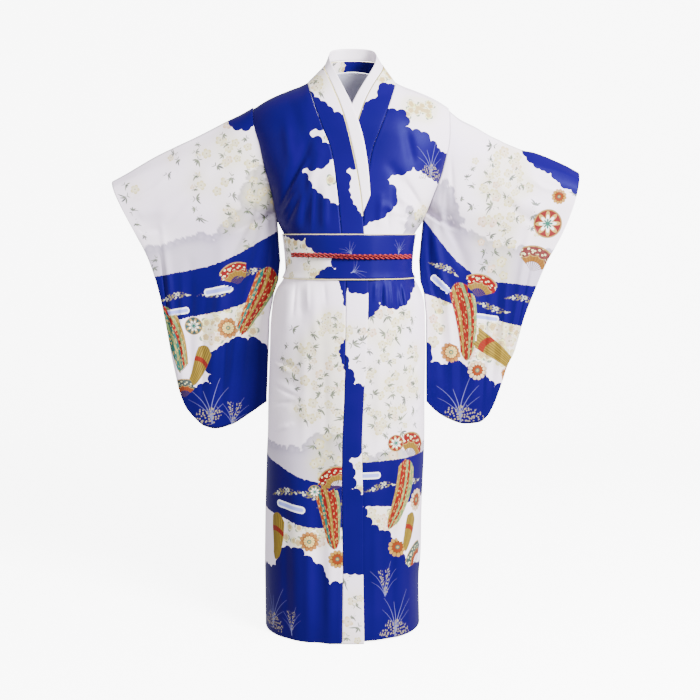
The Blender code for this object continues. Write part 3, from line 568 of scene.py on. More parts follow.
def collar_lines(over, under, back):
    """Seam, free edge and edging lines of the neckband from one hem round the neck to the other."""
    neck = slice(BACK_SIDE_COLUMNS, BACK_SIDE_COLUMNS + BACK_NECK_COLUMNS)
    left = over[:, -1]
    right = under[:, -1]
    nape = back[-1, neck]
    e_left, w_left = ribbon_front(left, -1)
    e_right, w_right = ribbon_front(right, 1)
    e_nape, w_nape = ribbon_back(nape)
    seam = np.concatenate([left[:-1], nape, right[-2::-1]])
    edge = np.concatenate([e_left[:-1], e_nape, e_right[-2::-1]])
    strip = np.concatenate([w_left[:-1], w_nape, w_right[-2::-1]])
    first = len(left) - 44
    last = len(seam) - len(right) + 44
    edge[first:last] = even_out(edge[first:last].copy(), 60)
    strip[first:last] = even_out(strip[first:last].copy(), 60)
    return seam, edge, strip, len(left) - 1


def ribbon(a, b, start, end, columns):
    """Grid between two lines, from a share to a share of the way across."""
    share = np.linspace(0, 1, columns)[None, :, None]
    across_way = b - a
    width = np.linalg.norm(across_way, axis=1, keepdims=True)
    first = a + across_way / width * start
    final = b - across_way / width * end
    return first[:, None] + (final - first)[:, None] * share


def settle_on_front(grid, lift):
    """Grid with every point below the neck laid on the front surface, then raised along its normals."""
    x, y, z = grid[:, :, 0], grid[:, :, 1], grid[:, :, 2]
    front = ease((LYING_Z - z) / LYING_FADE) * (y < 0.0)
    y = y + (body_y("front", x, np.minimum(z, LYING_Z)) - y) * front
    grid = np.stack([x, y, z], axis=2)
    n = normals(grid, False)
    outward = grid - np.array([NECK_X, 0.0, 0.0])
    outward[:, :, 2] = 0
    n *= np.sign(np.sum(n * outward, axis=2, keepdims=True))
    return grid + n * lift


def inner_edge(side, z):
    """x of the sleeve's inner edge: the armhole, then just clear of the body or of the belt's level."""
    at = np.maximum(z, ARMPIT_Z)
    hole = across(side * side_angle(at), at) + side * 0.0010
    reach = np.array([-0.320, -0.420, -0.470, -0.500, -0.560, -0.770])
    left = np.array([0.1790, 0.1722, 0.1775, 0.1885, 0.1995, 0.2085])
    right = np.array([0.1795, 0.1700, 0.1735, 0.1830, 0.1890, 0.1905])
    hang = np.interp(z, reach[::-1], (left if side < 0 else right)[::-1])
    return np.where(z > ARMPIT_Z, hole, side * hang)


def sleeve(side, table):
    """Sleeve: share s from the armhole to the cuff, and a ring round each share.

    A ring runs from the top fold down the front to the lower end and back up behind. Its line is straight
    from the top point to the lower point of the table, and its thickness comes from SLEEVE_DEPTH.
    """
    s = (np.linspace(0, 1, SLEEVE_RINGS + 1) ** 0.95)[:, None]
    turn = np.linspace(0, np.pi, SLEEVE_FRONT + 1)[None]
    down = 0.5 * (1 - np.cos(turn)) * 0.35 + 0.65 * turn / np.pi
    top_x, top_z, low_x, low_z = (smooth(s, table, i) for i in (1, 2, 3, 4))
    x = top_x + (low_x - top_x) * down
    z = top_z + (low_z - top_z) * down
    first_x = table[0, 1] + (table[0, 3] - table[0, 1]) * down
    first_z = table[0, 2] + (table[0, 4] - table[0, 2]) * down
    inner = inner_edge(side, first_z)
    x = x + (inner - first_x) * (1 - s) ** INNER_FADE
    x = x + side * CUFF_BOW[side] * np.sin(np.pi * down) * s ** 3
    thick = smooth(down, SLEEVE_DEPTH, 1) * (1 - s) + smooth(down, SLEEVE_DEPTH, 2) * s
    centre = 0.004 + 0.010 * s
    arm_front = centre - body_y("front", inner, first_z) + (CLOTH if side > 0 else 0.0)
    arm_back = body_y("back", inner, first_z) - centre
    hole = ((first_z > ARMPIT_Z + ARMPIT_CLEAR) & (down > 0.0)) * ease(1 - s / ARMHOLE_REACH)
    behind_thick = thick * BEHIND_SHARE
    thick_front = np.maximum(thick + (arm_front - thick) * hole, LEAST_FRONT)
    thick_back = np.maximum(behind_thick + (arm_back - behind_thick) * hole, LEAST_BACK)
    fade = np.sin(np.clip(turn, 0, np.pi)) ** 0.5 * ease(s / 0.08)
    front_y = centre - np.maximum(thick_front + sleeve_rise("front", s, down) * fade, SLEEVE_LEAST)
    behind_y = centre + np.maximum(thick_back + sleeve_rise("back", s, down) * fade, SLEEVE_LEAST)
    front = np.stack([x, front_y, z], axis=2)
    behind = np.stack([x, behind_y, z], axis=2)
    top = (front[:, :1] + behind[:, :1]) / 2 + np.array([0, 0, SLEEVE_EDGE])
    low = (front[:, -1:] + behind[:, -1:]) / 2 - np.array([0, 0, SLEEVE_EDGE])
    return np.concatenate([top, front, low, behind[:, ::-1]], axis=1)


def belt_ring(z, lift, turn):
    """Points round the body at a height, standing off it by a lift and over the neckband's layers."""
    front = np.abs(turn) <= np.pi / 2
    angle = np.where(front, turn, np.sign(turn) * (np.pi - np.abs(turn)))
    level = np.full(len(turn), z)
    x = across(angle, level)
    depth = np.where(front, smooth(level, BODY, 4), smooth(level, BODY, 5))
    y = np.where(front, -1, 1) * depth * np.abs(np.cos(angle)) ** (2 / ROUNDNESS)
    span = ease((x - seam_x(level, -1) + 0.075) / 0.05) * ease((0.085 - x) / 0.04)
    raised = 0.0014 + (LAYER_RISE + 0.0004) * span * front
    nx = (x - smooth(level, BODY, 1)) / smooth(level, BODY, 2) ** 2
    ny = y / depth ** 2
    size = np.hypot(nx, ny)
    away = raised + lift + 0.0012
    return np.stack([x + nx / size * away, y + ny / size * away, level], axis=1)


# --- Print layout -------------------------------------------------------------------------------------


def lengths(grid, axis):
    """Running length along the rows or columns of a grid, 0 at the first."""
    step = np.linalg.norm(np.diff(grid, axis=axis), axis=2)
    start = np.zeros_like(np.take(step, [0], axis=axis))
    return np.concatenate([start, np.cumsum(step, axis=axis)], axis=axis)


def inside_of(shape, u, v):
    """Signed distance to a polygon, positive inside."""
    shape = np.asarray(shape, float)
    near = np.full(u.shape, 9.0)
    odd = np.zeros(u.shape, bool)
    for (x0, z0), (x1, z1) in zip(shape, np.roll(shape, -1, axis=0)):
        along = (x1 - x0) ** 2 + (z1 - z0) ** 2 + 1e-12
        t = np.clip(((u - x0) * (x1 - x0) + (v - z0) * (z1 - z0)) / along, 0, 1)
        near = np.minimum(near, np.hypot(u - x0 - t * (x1 - x0), v - z0 - t * (z1 - z0)))
        if z0 != z1:
            odd ^= ((z0 > v) != (z1 > v)) & (u < (x1 - x0) * (v - z0) / (z1 - z0) + x0)
    return np.where(odd, near, -near)


def scallops(value, shape, u, v, radius, seed, way=1):
    """Signed distance with round lobes along a polygon's edge, inside it, or outside if way is -1."""
    ring = np.concatenate([shape, shape[:1]])
    step = np.diff(ring, axis=0)
    run = np.concatenate([[0], np.cumsum(np.linalg.norm(step, axis=1))])
    rng = np.random.default_rng(seed)
    radii = radius * rng.uniform(0.75, 1.3, int(run[-1] / radius) + 2)
    places = np.cumsum(radii * rng.uniform(1.35, 1.8, len(radii)))
    radii = radii[places < run[-1]]
    places = places[places < run[-1]]
    side = np.sign(np.sum(ring[:-1, 0] * ring[1:, 1] - ring[1:, 0] * ring[:-1, 1]))
    i = np.searchsorted(run, places) - 1
    inward = np.stack([-step[i, 1], step[i, 0]], axis=1) / np.linalg.norm(step[i], axis=1)[:, None] * side
    centres = np.stack([np.interp(places, run, ring[:, 0]), np.interp(places, run, ring[:, 1])], axis=1)
    centres = centres + inward * way * 0.7 * radius
    value = value - 0.7 * radius
    for (cu, cv), r in zip(centres, radii):
        value = np.maximum(value, r - np.hypot(u - cu, v - cv))
    return value


def clouds(u, v, shapes, holes, seed=1):
    """Signed distance of the blue ground: shapes and holes, each a lobe radius and corners in cm."""
    value = np.full(u.shape, -1.0)
    for rows, first, way, join in ((shapes, seed, 1, np.maximum), (holes, seed + 50, -1, np.minimum)):
        for i, (radius, *shape) in enumerate(rows):
            shape = np.array(shape) / 100
            edge = way * inside_of(shape, u, v)
            value = join(value, scallops(edge, shape, u, v, radius / 100, first + i, way))
    return np.clip(value, -0.05, 0.05)


# A motif is a row: place u and v, half width, half height, turn in radians, kind, and a tone from 0 to 1
SPRIG, BLOSSOM, TUFT, LACE, PEONY = 1, 2, 3, 4, 5
FAN, BALL, MUM, RIBBONS, BAR = 6, 7, 8, 9, 10


def spray(rng, u, top, bottom, lean=0.0, dense=0.5):
    """A hanging spray: leafy twigs turned every way, with pale blossoms most of all near its top."""
    out = []
    v = top
    while v > bottom:
        drift = lean * (top - v) + rng.normal(0, 0.012)
        share = (top - v) / (top - bottom)
        for _ in range(rng.poisson(2.6 * dense * (1 - 0.6 * share))):
            du, dv = rng.normal(0, 0.016, 2)
            r = rng.uniform(0.009, 0.016)
            out.append([u + drift + du, v + dv, r, r, rng.uniform(0, 6), BLOSSOM, rng.random()])
        size = rng.uniform(0.012, 0.021)
        out.append([u + drift, v, size, size, rng.normal(0, 1.3), SPRIG, rng.random()])
        v -= size * rng.uniform(1.2, 2.3)
    return out


def scatter(rng, low, high, count, kinds, size, tilt=6.0):
    """Motifs of the given kinds strewn over a rectangle. Rows of motifs."""
    out = []
    for _ in range(count):
        u, v = rng.uniform(low, high)
        r = rng.uniform(*size)
        out.append([u, v, r, r, rng.uniform(-tilt, tilt), kinds[rng.integers(len(kinds))], rng.random()])
    return out


def small_motifs(strewn, placed, sprays=()):
    """Small motifs of a sheet: hanging sprays, motifs strewn over rectangles, and those given in a list."""
    out = [motif for row in sprays for motif in spray(rng, *row)]
    out += [motif for row in strewn for motif in scatter(rng, *row)]
    return out + placed


def nearest_motif(u, v, motifs):
    """For each face, the motif whose square it lies deepest in, or -1."""
    best = np.full(u.shape, 1.08)
    index = np.full(u.shape, -1)
    for i, (mu, mv, ru, rv, angle, _kind, _tone) in enumerate(motifs):
        c, s = math.cos(angle), math.sin(angle)
        a = np.abs((u - mu) * c + (v - mv) * s) / ru
        b = np.abs((v - mv) * c - (u - mu) * s) / rv
        d = np.maximum(a, b)
        take = d < best
        best[take] = d[take]
        index[take] = i
    return index


def lay_motifs(mesh, name, flat, quads, outer_faces, motifs):
    """Write one layer of motifs: local coordinates per corner, and kind and tone per face."""
    motifs = np.array(motifs, float).reshape(-1, 7)
    corners = flat[quads]
    centre = corners.mean(axis=1)
    index = nearest_motif(centre[:, 0], centre[:, 1], motifs)
    index[outer_faces:] = -1
    chosen = motifs[np.maximum(index, 0)] if len(motifs) else np.ones((len(quads), 7))
    c, s = np.cos(chosen[:, 4])[:, None], np.sin(chosen[:, 4])[:, None]
    du = corners[:, :, 0] - chosen[:, 0, None]
    dv = corners[:, :, 1] - chosen[:, 1, None]
    x = (du * c + dv * s) / chosen[:, 2, None]
    y = (dv * c - du * s) / chosen[:, 3, None]
    local = np.stack([x, y], axis=2)
    local[index < 0] = 0
    layer_map = mesh.uv_layers.new(name=name)
    layer_map.data.foreach_set("uv", local.reshape(-1).astype(np.float32))
    for label, column in ((" kind", 5), (" tone", 6)):
        mark = mesh.attributes.new(name + label, "FLOAT", "FACE")
        mark.data.foreach_set("value", np.where(index < 0, 0, chosen[:, column]).astype(np.float32))


# --- Pieces -------------------------------------------------------------------------------------------


def grid_faces(rows, columns, close_rows=False, close_columns=False):
    """Quads of a grid of points, with the last row or column joined to the first where it is closed."""
    r, c = np.meshgrid(np.arange(rows if close_rows else rows - 1),
                       np.arange(columns if close_columns else columns - 1), indexing="ij")
    q, d = (r + 1) % rows, (c + 1) % columns
    corners = [r * columns + c, r * columns + d, q * columns + d, q * columns + c]
    return np.stack(corners, axis=2).reshape(-1, 4)


def add_mesh(name, points, faces, smooth, material):
    """Object with one mesh and one material in the scene; smooth says for each face whether it is."""
    mesh = bpy.data.meshes.new(name)
    mesh.from_pydata(points, [], faces)
    mesh.polygons.foreach_set("use_smooth", smooth)
    mesh.materials.append(material)
    obj = bpy.data.objects.new(name, mesh)
    bpy.context.scene.collection.objects.link(obj)
    return obj


def cloth(name, node, grid, thick, material, slot, flat, closed=False, flip=False, marks=None,
          small=(), large=(), both_sides=False):
    """Closed thin wall on a grid of points: outer skin, inner skin the thickness inside it, and rims."""
    n = normals(grid, closed) * (-1 if flip else 1)
    rows, columns = grid.shape[:2]
    count = rows * columns
    points = np.concatenate([grid.reshape(-1, 3), (grid - n * thick).reshape(-1, 3)])
    outer = grid_faces(rows, columns, close_columns=closed)
    inner = outer[:, ::-1] + count
    line = np.arange(columns if closed else columns - 1)
    after = (line + 1) % columns
    top = (rows - 1) * columns
    rims = [np.stack([line, count + line, count + after, after], axis=1),
            np.stack([top + line, top + after, count + top + after, count + top + line], axis=1)]
    if not closed:
        left = np.arange(rows - 1) * columns
        right = left + columns - 1
        rims.append(np.stack([left, left + columns, count + left + columns, count + left], axis=1))
        rims.append(np.stack([right, count + right, count + right + columns, right + columns], axis=1))
    quads = np.concatenate([outer, inner, *rims])
    if flip:
        quads = quads[:, ::-1]
    obj = add_mesh(name, points, quads, np.arange(len(quads)) < 2 * len(outer), material)
    mesh = obj.data
    flat2 = np.concatenate([flat.reshape(-1, 2)] * 2)
    layout = mesh.uv_layers.new(name="flat")
    layout.data.foreach_set("uv", flat2[quads].reshape(-1).astype(np.float32))
    reverse = np.repeat([0.0, 0.0 if both_sides else 1.0], count)
    for label, values in {"reverse": reverse, **(marks or {})}.items():
        values = np.asarray(values, float).reshape(-1)
        if len(values) == count:
            values = np.concatenate([values, values])
        mark = mesh.attributes.new(label, "FLOAT", "POINT")
        mark.data.foreach_set("value", values.astype(np.float32))
    if material.name == "printed satin":
        printed = 2 * len(outer) if both_sides else len(outer)
        lay_motifs(mesh, "small", flat2, quads, printed, small)
        lay_motifs(mesh, "large", flat2, quads, printed, large)
    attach(obj, "root")
    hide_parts(node)
    return obj


def tube(name, node, paths, radius, sides, material, closed=False):
    """Round cords along paths: a circle of points across each path, with flat ends on an open one."""
    points, quads = [], []
    start = 0
    for path in paths:
        if closed:
            along = np.roll(path, -1, axis=0) - np.roll(path, 1, axis=0)
        else:
            along = np.gradient(path, axis=0)
        along /= np.linalg.norm(along, axis=1, keepdims=True)
        out = np.cross([0.0, 0.0, 1.0], along)
        out /= np.linalg.norm(out, axis=1, keepdims=True)
        rise = np.cross(along, out)
        turn = np.linspace(0, 2 * np.pi, sides, endpoint=False)[None, :, None]
        ring = path[:, None] + radius * (out[:, None] * np.cos(turn) + rise[:, None] * np.sin(turn))
        quads.append(grid_faces(len(path), sides, closed, True)[:, ::-1] + start)
        points.append(ring.reshape(-1, 3))
        start += len(path) * sides
    faces = np.concatenate(quads).tolist()
    if not closed:
        first = 0
        for path in paths:
            size = len(path) * sides
            faces.append(list(range(first, first + sides)))
            faces.append(list(range(first + size - sides, first + size))[::-1])
            first += size
    obj = add_mesh(name, np.concatenate(points), faces, np.ones(len(faces), bool), material)
    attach(obj, "root")
    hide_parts(node)


# --- Materials ----------------------------------------------------------------------------------------


class Number:
    """A number in a node tree; arithmetic on it adds Math nodes."""

    def __init__(self, tree, socket):
        self.tree = tree
        self.socket = socket

    def do(self, operation, *others, soft=False):
        node = self.tree.nodes.new("ShaderNodeMath")
        node.operation = operation
        node.use_clamp = soft
        for slot, value in zip(node.inputs, (self, *others)):
            if isinstance(value, Number):
                self.tree.links.new(value.socket, slot)
            else:
                slot.default_value = value
        return Number(self.tree, node.outputs[0])

    def __add__(self, other):
        return self.do("ADD", other)

    def __sub__(self, other):
        return self.do("SUBTRACT", other)

    def __mul__(self, other):
        return self.do("MULTIPLY", other)

    def __truediv__(self, other):
        return self.do("DIVIDE", other)

    __radd__ = __add__
    __rmul__ = __mul__

    def __rsub__(self, other):
        return (self * -1) + other

    def __abs__(self):
        return self.do("ABSOLUTE")

    def __pow__(self, other):
        return self.do("POWER", other)

    def sin(self):
        return self.do("SINE")

    def cos(self):
        return self.do("COSINE")

    def part(self):
        return self.do("FRACT")

    def whole(self):
        return self.do("FLOOR")

    def low(self, other):
        return self.do("MINIMUM", other)

    def high(self, other):
        return self.do("MAXIMUM", other)

    def over(self, edge, width=0.03):
        """1 where the number is above an edge, with a soft step of this width."""
        return (self - edge).do("MULTIPLY_ADD", 1 / width, 0.5, soft=True)

    def under(self, edge, width=0.03):
        """1 where the number is below an edge, with a soft step of this width."""
        return (self - edge).do("MULTIPLY_ADD", -1 / width, 0.5, soft=True)

    def random(self):
        """A number from 0 to 1 that looks random for each whole number."""
        return ((self * 12.9898).sin() * 43758.547).part()


def length(x, y):
    """Distance from 0 of the point (x, y)."""
    return (x * x + y * y).do("SQRT")


def turn_of(x, y):
    """Angle of the point (x, y) from straight up, in radians."""
    return x.do("ARCTAN2", y)


# Film curve: shown values and the light that gives them, and how bright the studio light is
FILM_SHOWN = [0, 0.2, 0.45, 0.663, 0.776, 0.851, 0.894, 0.914]
FILM_LIGHT = [0, 0.03, 0.18, 0.5, 1, 2, 3, 4]
STUDIO_LIGHT = 3.4


def paint(colour):
    """Cloth colour that shows like this paint under the bright studio light and the film curve."""
    colour = np.asarray(colour, float)
    vivid = (colour.max() - colour.min()) / colour.max()
    shown = np.minimum(colour ** (1 / 2.2), 0.90)
    light = np.interp(shown, FILM_SHOWN, FILM_LIGHT)
    return tuple((vivid * colour * 1.15 + (1 - vivid) * light) / STUDIO_LIGHT)


def mix(factor, a, b, exact=False):
    """Colour socket that goes from a to b by a factor."""
    tree = factor.tree
    node = tree.nodes.new("ShaderNodeMix")
    node.data_type = "RGBA"
    tree.links.new(factor.socket, node.inputs["Factor"])
    for slot, colour in ((node.inputs[6], a), (node.inputs[7], b)):
        if isinstance(colour, bpy.types.NodeSocket):
            tree.links.new(colour, slot)
        else:
            slot.default_value = (*(colour if exact else paint(colour)), 1)
    return node.outputs[2]


def layered(colour, *layers):
    """Colour with layers mixed over it one by one, each a factor and its colour."""
    for factor, over_colour in layers:
        colour = mix(factor, colour, over_colour)
    return colour


def group(name, labels, outputs, build):
    """Node group with number inputs; build gets the inputs and gives one value per output."""
    tree = bpy.data.node_groups.new(name, "ShaderNodeTree")
    for label in labels:
        tree.interface.new_socket(label, in_out="INPUT", socket_type="NodeSocketFloat")
    for label, kind in outputs:
        tree.interface.new_socket(label, in_out="OUTPUT", socket_type=kind)
    start = tree.nodes.new("NodeGroupInput")
    end = tree.nodes.new("NodeGroupOutput")
    made = build(*[Number(tree, start.outputs[i]) for i in range(len(labels))])
    for slot, value in zip(end.inputs, made):
        tree.links.new(value.socket if isinstance(value, Number) else value, slot)
    return tree


def use(inner, *values):
    """Node of a group with its inputs linked, and its output sockets."""
    tree = values[0].tree
    node = tree.nodes.new("ShaderNodeGroup")
    node.node_tree = inner
    for slot, value in zip(node.inputs, values):
        tree.links.new(value.socket, slot)
    return [node.outputs[i] for i in range(len(inner.interface.items_tree) - len(values))]


def cells(x, y, scale):
    """Voronoi cells of the point (x, y): distance to the nearest cell's middle."""
    tree = x.tree
    point = tree.nodes.new("ShaderNodeCombineXYZ")
    tree.links.new(x.socket, point.inputs[0])
    tree.links.new(y.socket, point.inputs[1])
    node = tree.nodes.new("ShaderNodeTexVoronoi")
    node.voronoi_dimensions = "2D"
    node.inputs["Scale"].default_value = scale
    tree.links.new(point.outputs[0], node.inputs["Vector"])
    return Number(tree, node.outputs["Distance"])


def sprig_parts(x, y, tone):
    """A bent twig with slim pointed leaves: a fan of three or four at its end, and single ones along it."""
    bent = x - (y - 0.2) * (y - 0.2) * (tone - 0.5) * 1.4
    down = 0.25 - y
    r = length(bent, down)
    a = turn_of(bent, down) + (tone - 0.5) * 1.2
    row = a / 0.55 + 0.02
    near = abs(row.part() - 0.5) * 0.55 * r
    reach = (row.whole() + tone * 7).random() * 0.65 + 0.45
    t = (r - 0.04) / reach
    leaf = (t * (1 - t) * 0.42 - near).over(0, 0.05) * t.over(0.03, 0.03)
    leaf = leaf * abs(a).under(0.95 + tone * 0.35, 0.02)
    up = y * 2.6 + tone
    side = abs(bent) - (up.part() - 0.1) * 0.42
    single = (up.part() * (1 - up.part()) * 0.34 - abs(side)).over(0, 0.05)
    single = single * y.over(0.28, 0.02) * y.under(0.95, 0.02)
    kept = (up.whole() + bent.over(0, 0.01) * 3).random().over(0.35, 0.02)
    twig = abs(bent).under(0.018, 0.03) * y.over(0.2, 0.03) * y.under(0.95, 0.05)
    mask = leaf.high(twig * 0.6).high(single * kept)
    shade = (row.whole() + tone * 3).random()
    colour = mix(shade, (0.17, 0.20, 0.16), (0.42, 0.47, 0.28))
    return mask, colour


def blossom_parts(x, y, tone):
    """Five notched petals round a small yellow eye, with an outline a little darker."""
    r = length(x, y)
    a = turn_of(x, y)
    edge = abs((a * 2.5).cos()) ** 0.55 * 0.40 + 0.48
    mask = (edge - r).over(0, 0.05)
    rim = (edge - r).under(0.07, 0.06)
    veins = abs((a * 10).sin()).under(0.25, 0.3) * r.under(0.5, 0.3)
    colour = mix(tone.over(0.05, 0.5), (0.82, 0.50, 0.52), (0.84, 0.76, 0.38))
    colour = layered(
        colour, (r.under(0.55, 0.5) * 0.5, (0.92, 0.88, 0.84)),
        (rim * 0.30, (0.62, 0.48, 0.46)),
        (veins * 0.40, (0.72, 0.45, 0.47)),
        (r.under(0.13, 0.05), (0.62, 0.50, 0.20)))
    return mask, colour


def tuft_parts(x, y, tone):
    """Six thin blades of grass that arch out from one root, with seeds low between them or on stalks."""
    up = y + 1
    mask = up * 0
    blades = ((-0.95, 1.00), (-0.42, 1.50), (-0.13, 1.30), (0.20, 1.75), (0.52, 1.35), (1.15, 0.90))
    for lean, tall in blades:
        arc = abs(x - up * up * lean - (up * 5 + lean * 9).sin() * 0.012)
        mask = mask.high((0.024 - up * (0.018 / tall) - arc).over(0, 0.022) * (tall - up).over(0, 0.05))
    stalk = abs(abs(x - 0.05) - up * 0.20)
    high = (0.05 + up * 0.09 - stalk).over(0, 0.05) * up.over(0.3, 0.1) * up.under(1.45, 0.1)
    low = (0.62 - up - x * x * 0.5 + (x * 9).sin() * 0.08).over(0, 0.08)
    pick = tone.over(0.5, 0.01)
    seeds = cells(x, y, 8.5).under(0.31, 0.10) * (high * pick + low * (1 - pick))
    seeds = seeds * tone.under(0.9, 0.01)
    colour = mix(seeds, (0.42, 0.43, 0.64), (0.60, 0.56, 0.38))
    return mask.high(seeds), colour


def lace_parts(x, y, tone):
    """A drifting line of small golden leaves and dots."""
    path = y - (x * 2.2 + tone * 5).sin() * 0.25
    dots = cells(x * 1.0, path * 0.45, 6.5).under(0.36, 0.14)
    thick = (1 - x * x) * 0.42
    mask = dots * (thick - abs(path)).over(0, 0.2)
    line = abs(path).under(0.035, 0.04) * abs(x).under(0.95, 0.1)
    colour = mix((x * 9).sin().over(0.1, 0.8), (0.52, 0.45, 0.12), (0.72, 0.72, 0.66))
    return mask.high(line), colour


def peony_parts(x, y, tone):
    """Rings of scalloped petals, with leaves that show between them."""
    r = length(x, y)
    a = turn_of(x, y)
    edge = abs((a * 3 + tone * 4).cos()) * 0.12 + 0.62
    ring = abs((a * 2.5 + tone * 7).cos()) * 0.10 + 0.36
    heart = abs((a * 2 + tone * 3).cos()) * 0.06 + 0.14
    lines = abs(r - edge).under(0.03, 0.04).high(abs(r - ring).under(0.025, 0.03))
    lines = lines.high(abs(r - heart).under(0.03, 0.03))
    leaf = ((a * 2.5 + tone * 9).cos().high(0) ** 0.7 * 0.34 + 0.62 - r).over(0, 0.05)
    colour = mix(tone, (0.86, 0.82, 0.55), (0.86, 0.78, 0.72))
    colour = layered(
        colour, (r.under(ring, 0.05), (0.84, 0.70, 0.30)),
        (lines * 0.8, (0.45, 0.36, 0.10)))
    vein = abs((a * 2.5 + tone * 9).sin()).under(0.12, 0.12)
    green = mix(vein, (0.22, 0.42, 0.33), (0.55, 0.62, 0.30))
    colour = mix(r.over(edge + 0.02, 0.03), colour, green)
    return leaf.high((edge - r).over(0, 0.05)), colour


def fan_parts(x, y, tone):
    """An open folding fan: ribs, a pleated leaf in bands and a golden rim."""
    up = y + 0.85
    r = length(x, up)
    a = turn_of(x, up)
    opened = abs(a).under(1.02, 0.02)
    paper = r.over(0.62, 0.02) * r.under(1.62, 0.02) * opened
    ribs = (a * 4.4 + 0.5).part()
    rib = abs(ribs - 0.5).under(0.16, 0.08) * r.under(0.64, 0.02) * r.over(0.08, 0.03) * opened
    wave = abs((a * 7).sin()) * 0.10
    band = mix(tone, (0.60, 0.025, 0.012), (0.02, 0.28, 0.26))
    other = mix(tone, (0.62, 0.38, 0.05), (0.62, 0.04, 0.02))
    colour = mix((r + wave).over(1.05, 0.02), other, band)
    dots = cells(a * 2.2, r * 2.2, 2.2)
    colour = layered(
        colour, (dots.under(0.28, 0.05) * r.over(1.1, 0.05), (0.86, 0.80, 0.66)),
        (dots.under(0.10, 0.05) * r.over(1.1, 0.05), (0.78, 0.45, 0.08)),
        (r.over(1.53, 0.02).high(abs(r + wave - 1.05).under(0.03, 0.02)), (0.72, 0.56, 0.18)))
    pleat = ribs.over(0.5, 0.1)
    colour = layered(
        colour, (pleat * 0.22, (0.05, 0.02, 0.02)),
        (r.under(0.63, 0.02), (0.30, 0.16, 0.05)))
    return paper.high(rib), colour


def ball_parts(x, y, tone):
    """A thread ball: crossing arcs of thread over a round ground, with a belt of diamonds."""
    r = length(x, y)
    a = turn_of(x, y)
    mask = r.under(0.92, 0.03)
    star = abs((a * 4 + tone * 6).cos()) * 0.55 + 0.25
    colour = mix(tone, (0.60, 0.03, 0.015), (0.02, 0.27, 0.28))
    colour = layered(
        colour, ((star - r).over(0, 0.03), (0.84, 0.66, 0.22)),
        ((star * 0.72 - r).over(0, 0.03), (0.86, 0.86, 0.80)),
        ((star * 0.42 - r).over(0, 0.03), (0.10, 0.42, 0.30)))
    thread = abs((a * 16).sin()).under(0.18, 0.2)
    colour = layered(
        colour, (thread * 0.4, (0.12, 0.02, 0.02)),
        (r.over(0.83, 0.03), (0.70, 0.52, 0.15)))
    return mask, colour


def mum_parts(x, y, tone):
    """A chrysanthemum: a ring of broad petals, a paler ring inside it, and a dotted heart."""
    r = length(x, y)
    a = turn_of(x, y)
    edge = abs((a * 6).cos()) ** 0.5 * 0.20 + 0.74
    ring = abs((a * 6 + 1.57).cos()) ** 0.5 * 0.14 + 0.42
    mask = (edge - r).over(0, 0.04)
    colour = mix(tone.over(0.35, 0.02), (0.66, 0.045, 0.012), (0.78, 0.40, 0.03))
    colour = mix(tone.over(0.75, 0.02), colour, (0.86, 0.82, 0.70))
    outer = mix(tone.over(0.75, 0.02), (0.84, 0.62, 0.20), (0.72, 0.36, 0.30))
    colour = mix(r.over(0.5, 0.5) * 0.6, colour, outer)
    gaps = abs((a * 6).cos()).under(0.24, 0.12) * r.over(ring, 0.02)
    colour = mix(gaps * 0.85, colour, (0.30, 0.10, 0.02))
    inner = mix(tone.over(0.35, 0.02), (0.84, 0.72, 0.42), (0.62, 0.10, 0.02))
    colour = mix(r.under(ring, 0.03), colour, inner)
    gaps = abs((a * 6 + 1.57).cos()).under(0.22, 0.12) * r.under(ring, 0.02)
    colour = layered(
        colour, (gaps * 0.8, (0.36, 0.20, 0.04)),
        (abs(r - ring).under(0.03, 0.03), (0.30, 0.14, 0.03)),
        (r.under(0.20, 0.04), (0.06, 0.34, 0.28)),
        (r.under(0.11, 0.04), (0.84, 0.68, 0.20)))
    return mask, colour


def ribbon_parts(x, y, tone):
    """A bundle of curved ribbons, each with its own colour and small figure."""
    bent = x - (y * 1.5 + tone * 3).sin() * 0.28
    spread = 0.42 + (y * 1.7 + 0.6).sin() * 0.16
    share = bent / spread
    mask = abs(share).under(1.0, 0.04) * (abs(y) + share * share * 0.24).under(0.97, 0.03)
    row = (share + 1) * 3.5
    number = row.whole()
    pick = (number + tone * 10).random()
    colour = mix(pick.over(0.22, 0.01), (0.58, 0.025, 0.012), (0.66, 0.44, 0.06))
    colour = layered(
        colour, (pick.over(0.42, 0.01), (0.04, 0.34, 0.28)),
        (pick.over(0.62, 0.01), (0.70, 0.12, 0.02)),
        (pick.over(0.80, 0.01), (0.40, 0.54, 0.22)))
    grain = (abs(row.part() - 0.5) * 2) ** 2 * 0.8 + (number * 1.7 + tone * 30).random() * 0.3
    tie = abs(y - 0.30 + share * share * 0.10).under(0.10, 0.02)
    reed = mix(grain, (0.74, 0.54, 0.06), (0.16, 0.10, 0.01))
    reed = mix(tie, reed, (0.60, 0.04, 0.015))
    colour = mix(tone.over(0.9, 0.01), colour, reed)
    dots = cells(row * 0.5, y * 2.4 + number * 3.7, 3.0) + tone.over(0.9, 0.01)
    colour = layered(
        colour, (dots.under(0.20 + pick * 0.10, 0.06), (0.82, 0.70, 0.30)),
        (dots.under(0.09, 0.04), (0.60, 0.06, 0.04)),
        (abs(row.part() - 0.5).over(0.44, 0.03), (0.28, 0.18, 0.06)))
    return mask, colour


def bar_parts(x, y, _tone):
    """A long bar with round ends, pale at its edge and light blue along the middle."""
    q = (abs(x) - 0.78).high(0) * 4.5
    r = length(q, y)
    colour = mix(r.under(0.55, 0.35), (0.90, 0.89, 0.96), (0.58, 0.60, 0.80))
    return r.under(0.97, 0.08), colour


